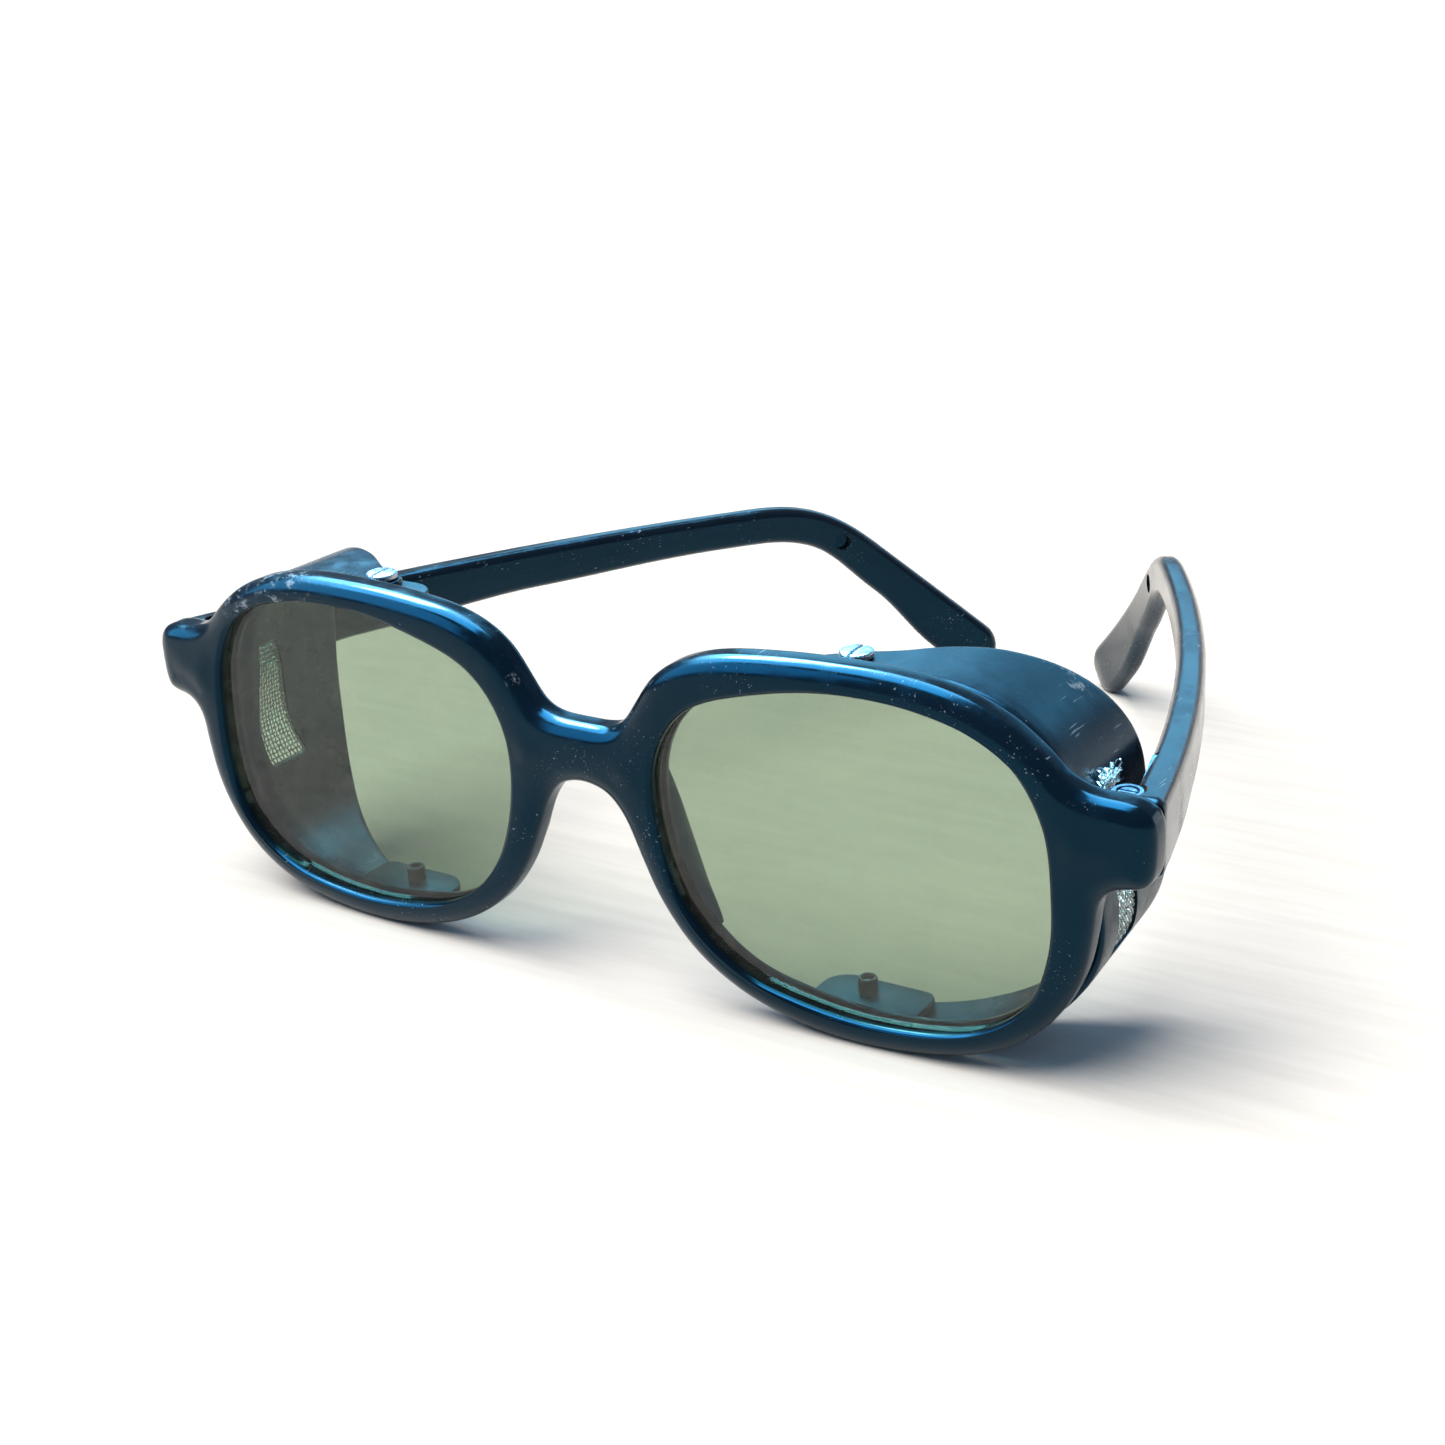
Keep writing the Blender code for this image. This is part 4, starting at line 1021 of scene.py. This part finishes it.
# ---------------------------------------------------------------- assembly
def assemble():
    """Every piece with its material, on the body it moves with."""
    navy = ((0.0016, 0.0042, 0.0085), (0.0026, 0.0070, 0.0140))
    scuffs = [((-46.0, 0.9, 17.0), 6.5), ((-55.0, 1.6, 13.6), 4.5), ((-8.6, 0.4, 9.4), 1.5)]
    plastic = moulded_plastic("navy_plastic", navy[0], navy[1], 0.15, scuffs)
    rubbed = [((55.0, 21.0, 12.4), 3.0)]
    shell = moulded_plastic("shield_plastic", navy[0], navy[1], 0.27, rubbed)
    glass = tinted_glass("green_glass")
    steel = worn_metal("screw_steel", (0.52, 0.57, 0.62), (0.28, 0.31, 0.34), 0.2, 0.42, 6.0)
    black = worn_metal("blackened_steel", (0.05, 0.055, 0.06), (0.02, 0.022, 0.025), 0.3, 0.55, 5.0)
    woven = worn_metal("woven_wire", (0.46, 0.46, 0.42), (0.22, 0.22, 0.19), 0.22, 0.4, 8.0)
    bright = worn_metal("torn_wire", (0.92, 0.94, 0.94), (0.72, 0.73, 0.72), 0.2, 0.35, 8.0)
    plated = worn_metal("plated_hinge", (0.16, 0.24, 0.33), (0.07, 0.10, 0.14), 0.26, 0.5, 5.0)

    # The ledges and nose rests are the same navy moulding as the front. Their paler teal colour is painted
    # light: it stands in for the blue light their faces catch. Their higher roughness is their own satin
    # finish.
    teal_painted_light = ((0.006, 0.026, 0.038), (0.012, 0.044, 0.058))
    satin_painted_light = moulded_plastic("satin_plastic_painted_light", teal_painted_light[0], teal_painted_light[1], 0.42, [])
    grip = moulded_plastic("temple_plastic", navy[0], navy[1], 0.15, [], 0.35)
    finish_piece(build_front(), "front", plastic, ["front_frame"], 35.0, satin_painted_light)
    lens = build_lens()
    shield = build_shield()
    temple = build_temple()
    upper = build_screw("screw_upper_left", 1)
    lower = build_screw("screw_lower_left", -1)
    left = (lens, shield, temple, upper, lower)
    right = [mirrored(o, o.name.replace("left", "right")) for o in left]
    for side, made in (("left", left), ("right", right)):
        finish_piece(made[0], "front", glass, [f"lens_{side}"])
        finish_piece(made[1], f"shield_{side}", shell, [f"shield_{side}"])
        finish_piece(made[2], f"temple_{side}", grip, [f"temple_{side}"])
        finish_piece(made[3], "front", steel, [f"screw_top_{side}"])
        finish_piece(made[4], "front", steel, [f"screw_bottom_{side}"])
        cloth = build_mesh(f"wire_cloth_{side}", side == "left")
        if side == "right":
            move_points(cloth, lambda c: (-c.x, c.y, c.z))
            cloth.data.flip_normals()
        finish_piece(cloth, f"shield_{side}", woven, [f"shield_mesh_{side}"], 60.0, bright)
        for node in ("hinge_front", "hinge_temple"):
            dress(f"{node}_{side}", plated)
        dress(f"hinge_screw_{side}", plated)
        for node in ("sleeve_top", "sleeve_bottom"):
            dress(f"{node}_{side}", black)


def dress(node, material):
    """A CAD node that keeps its shape gets its material and softened edges."""
    obj = frame["nodes"][node]
    obj.data.materials.clear()
    obj.data.materials.append(material)
    soft = obj.modifiers.new("soft_edges", 'BEVEL')
    soft.width = SOFT_EDGE * MM
    soft.segments = 2
    soft.limit_method = 'ANGLE'
    soft.angle_limit = radians(40)


# ---------------------------------------------------------------- floor, light and camera
def build_stage():
    """A wide pale floor with a faint grain."""
    bm = bmesh.new()
    bmesh.ops.create_grid(bm, x_segments=1, y_segments=1, size=30.0)
    floor = mesh_object("floor", bm)
    mat = new_material("pale_floor")
    grain = noise(mat, place_in_mm(mat, (0.10, 1.0, 1.0), (0, 0, -0.56)), 0.30, 6.0, 0.65)
    colour = mix_colour(mat, spread(mat, grain, 0.3, 0.7), (0.74, 0.735, 0.72), (0.81, 0.805, 0.79))
    shader = add(mat, 'ShaderNodeBsdfPrincipled', Base_Color=colour, Roughness=0.75)
    shader.inputs['Specular IOR Level'].default_value = 0.0
    floor.data.materials.append(output(mat, shader.outputs[0]))


def aim(obj, place, target):
    obj.location = place
    obj.rotation_euler = (Vector(target) - Vector(place)).to_track_quat('-Z', 'Y').to_euler()


def card(name, bearing, height, away, wide, high, glow, colour):
    """A soft studio card for highlights: bearing from +Y towards +X and height above the floor in degrees."""
    data = bpy.data.lights.new(name, 'AREA')
    data.shape = 'RECTANGLE'
    data.size = wide
    data.size_y = high
    data.energy = glow * pi * wide * high
    data.color = colour
    obj = bpy.data.objects.new(name, data)
    bpy.context.scene.collection.objects.link(obj)
    turn = radians(bearing)
    lift = radians(height)
    aim(obj, Vector((sin(turn) * cos(lift), cos(turn) * cos(lift), sin(lift))) * away, (0, 0, 0.02))
    obj.visible_camera = False
    obj.visible_diffuse = False
    return obj


def build_light():
    """Even pale light from all round, a broad lamp for the floor, and cards that only show as highlights."""
    world = bpy.data.worlds.new("studio")
    bpy.context.scene.world = world
    world.use_nodes = True
    back = world.node_tree.nodes["Background"]
    back.inputs["Color"].default_value = (0.50, 0.72, 1.0, 1.0)
    back.inputs["Strength"].default_value = 0.34
    sun = bpy.data.lights.new("lamp", 'SUN')
    sun.energy = 4.7
    sun.angle = radians(60)
    sun.color = (1.0, 0.92, 0.82)
    lamp = bpy.data.objects.new("lamp", sun)
    bpy.context.scene.collection.objects.link(lamp)
    aim(lamp, (-0.3, -0.3, 1.0), (0, 0, 0))
    lamp.visible_glossy = False
    card("card_overhead", -85.0, 66.0, 1.5, 2.0, 1.6, 24.0, (0.24, 0.70, 1.0))
    card("card_back", -8.0, 24.0, 1.6, 1.7, 0.55, 2.7, (0.16, 0.64, 1.0))
    card("card_front", -132.0, 24.0, 1.6, 1.3, 0.9, 6.5, (0.14, 0.63, 1.0))
    card("card_strip", -75.0, 57.0, 1.5, 0.8, 0.28, 130.0, (0.66, 0.90, 1.0))
    card("card_warm", 42.0, 2.0, 1.6, 0.6, 1.0, 1.6, (1.0, 0.95, 0.90))


def build_camera():
    """The picture's viewpoint, given in the front's axes in mm."""
    right = Vector((0.84577, 0.53076, -0.05449))
    down = Vector((0.15966, -0.3492, -0.92334))
    ahead = Vector((-0.50911, 0.77223, -0.38009))
    place = Vector((153.26, -200.13, 107.79))
    data = bpy.data.cameras.new("camera")
    data.sensor_width = 36.0
    data.lens = 57.3
    data.clip_start = 0.01
    obj = bpy.data.objects.new("camera", data)
    bpy.context.scene.collection.objects.link(obj)
    axes = [STAND @ v for v in (right, -down, -ahead)]
    turn = Matrix((axes[0], axes[1], axes[2])).transposed().to_4x4()
    obj.matrix_world = Matrix.Translation(stand(place)) @ turn
    bpy.context.scene.camera = obj


assemble()
build_stage()
build_light()
build_camera()
bpy.context.scene.view_settings.view_transform = 'Standard'
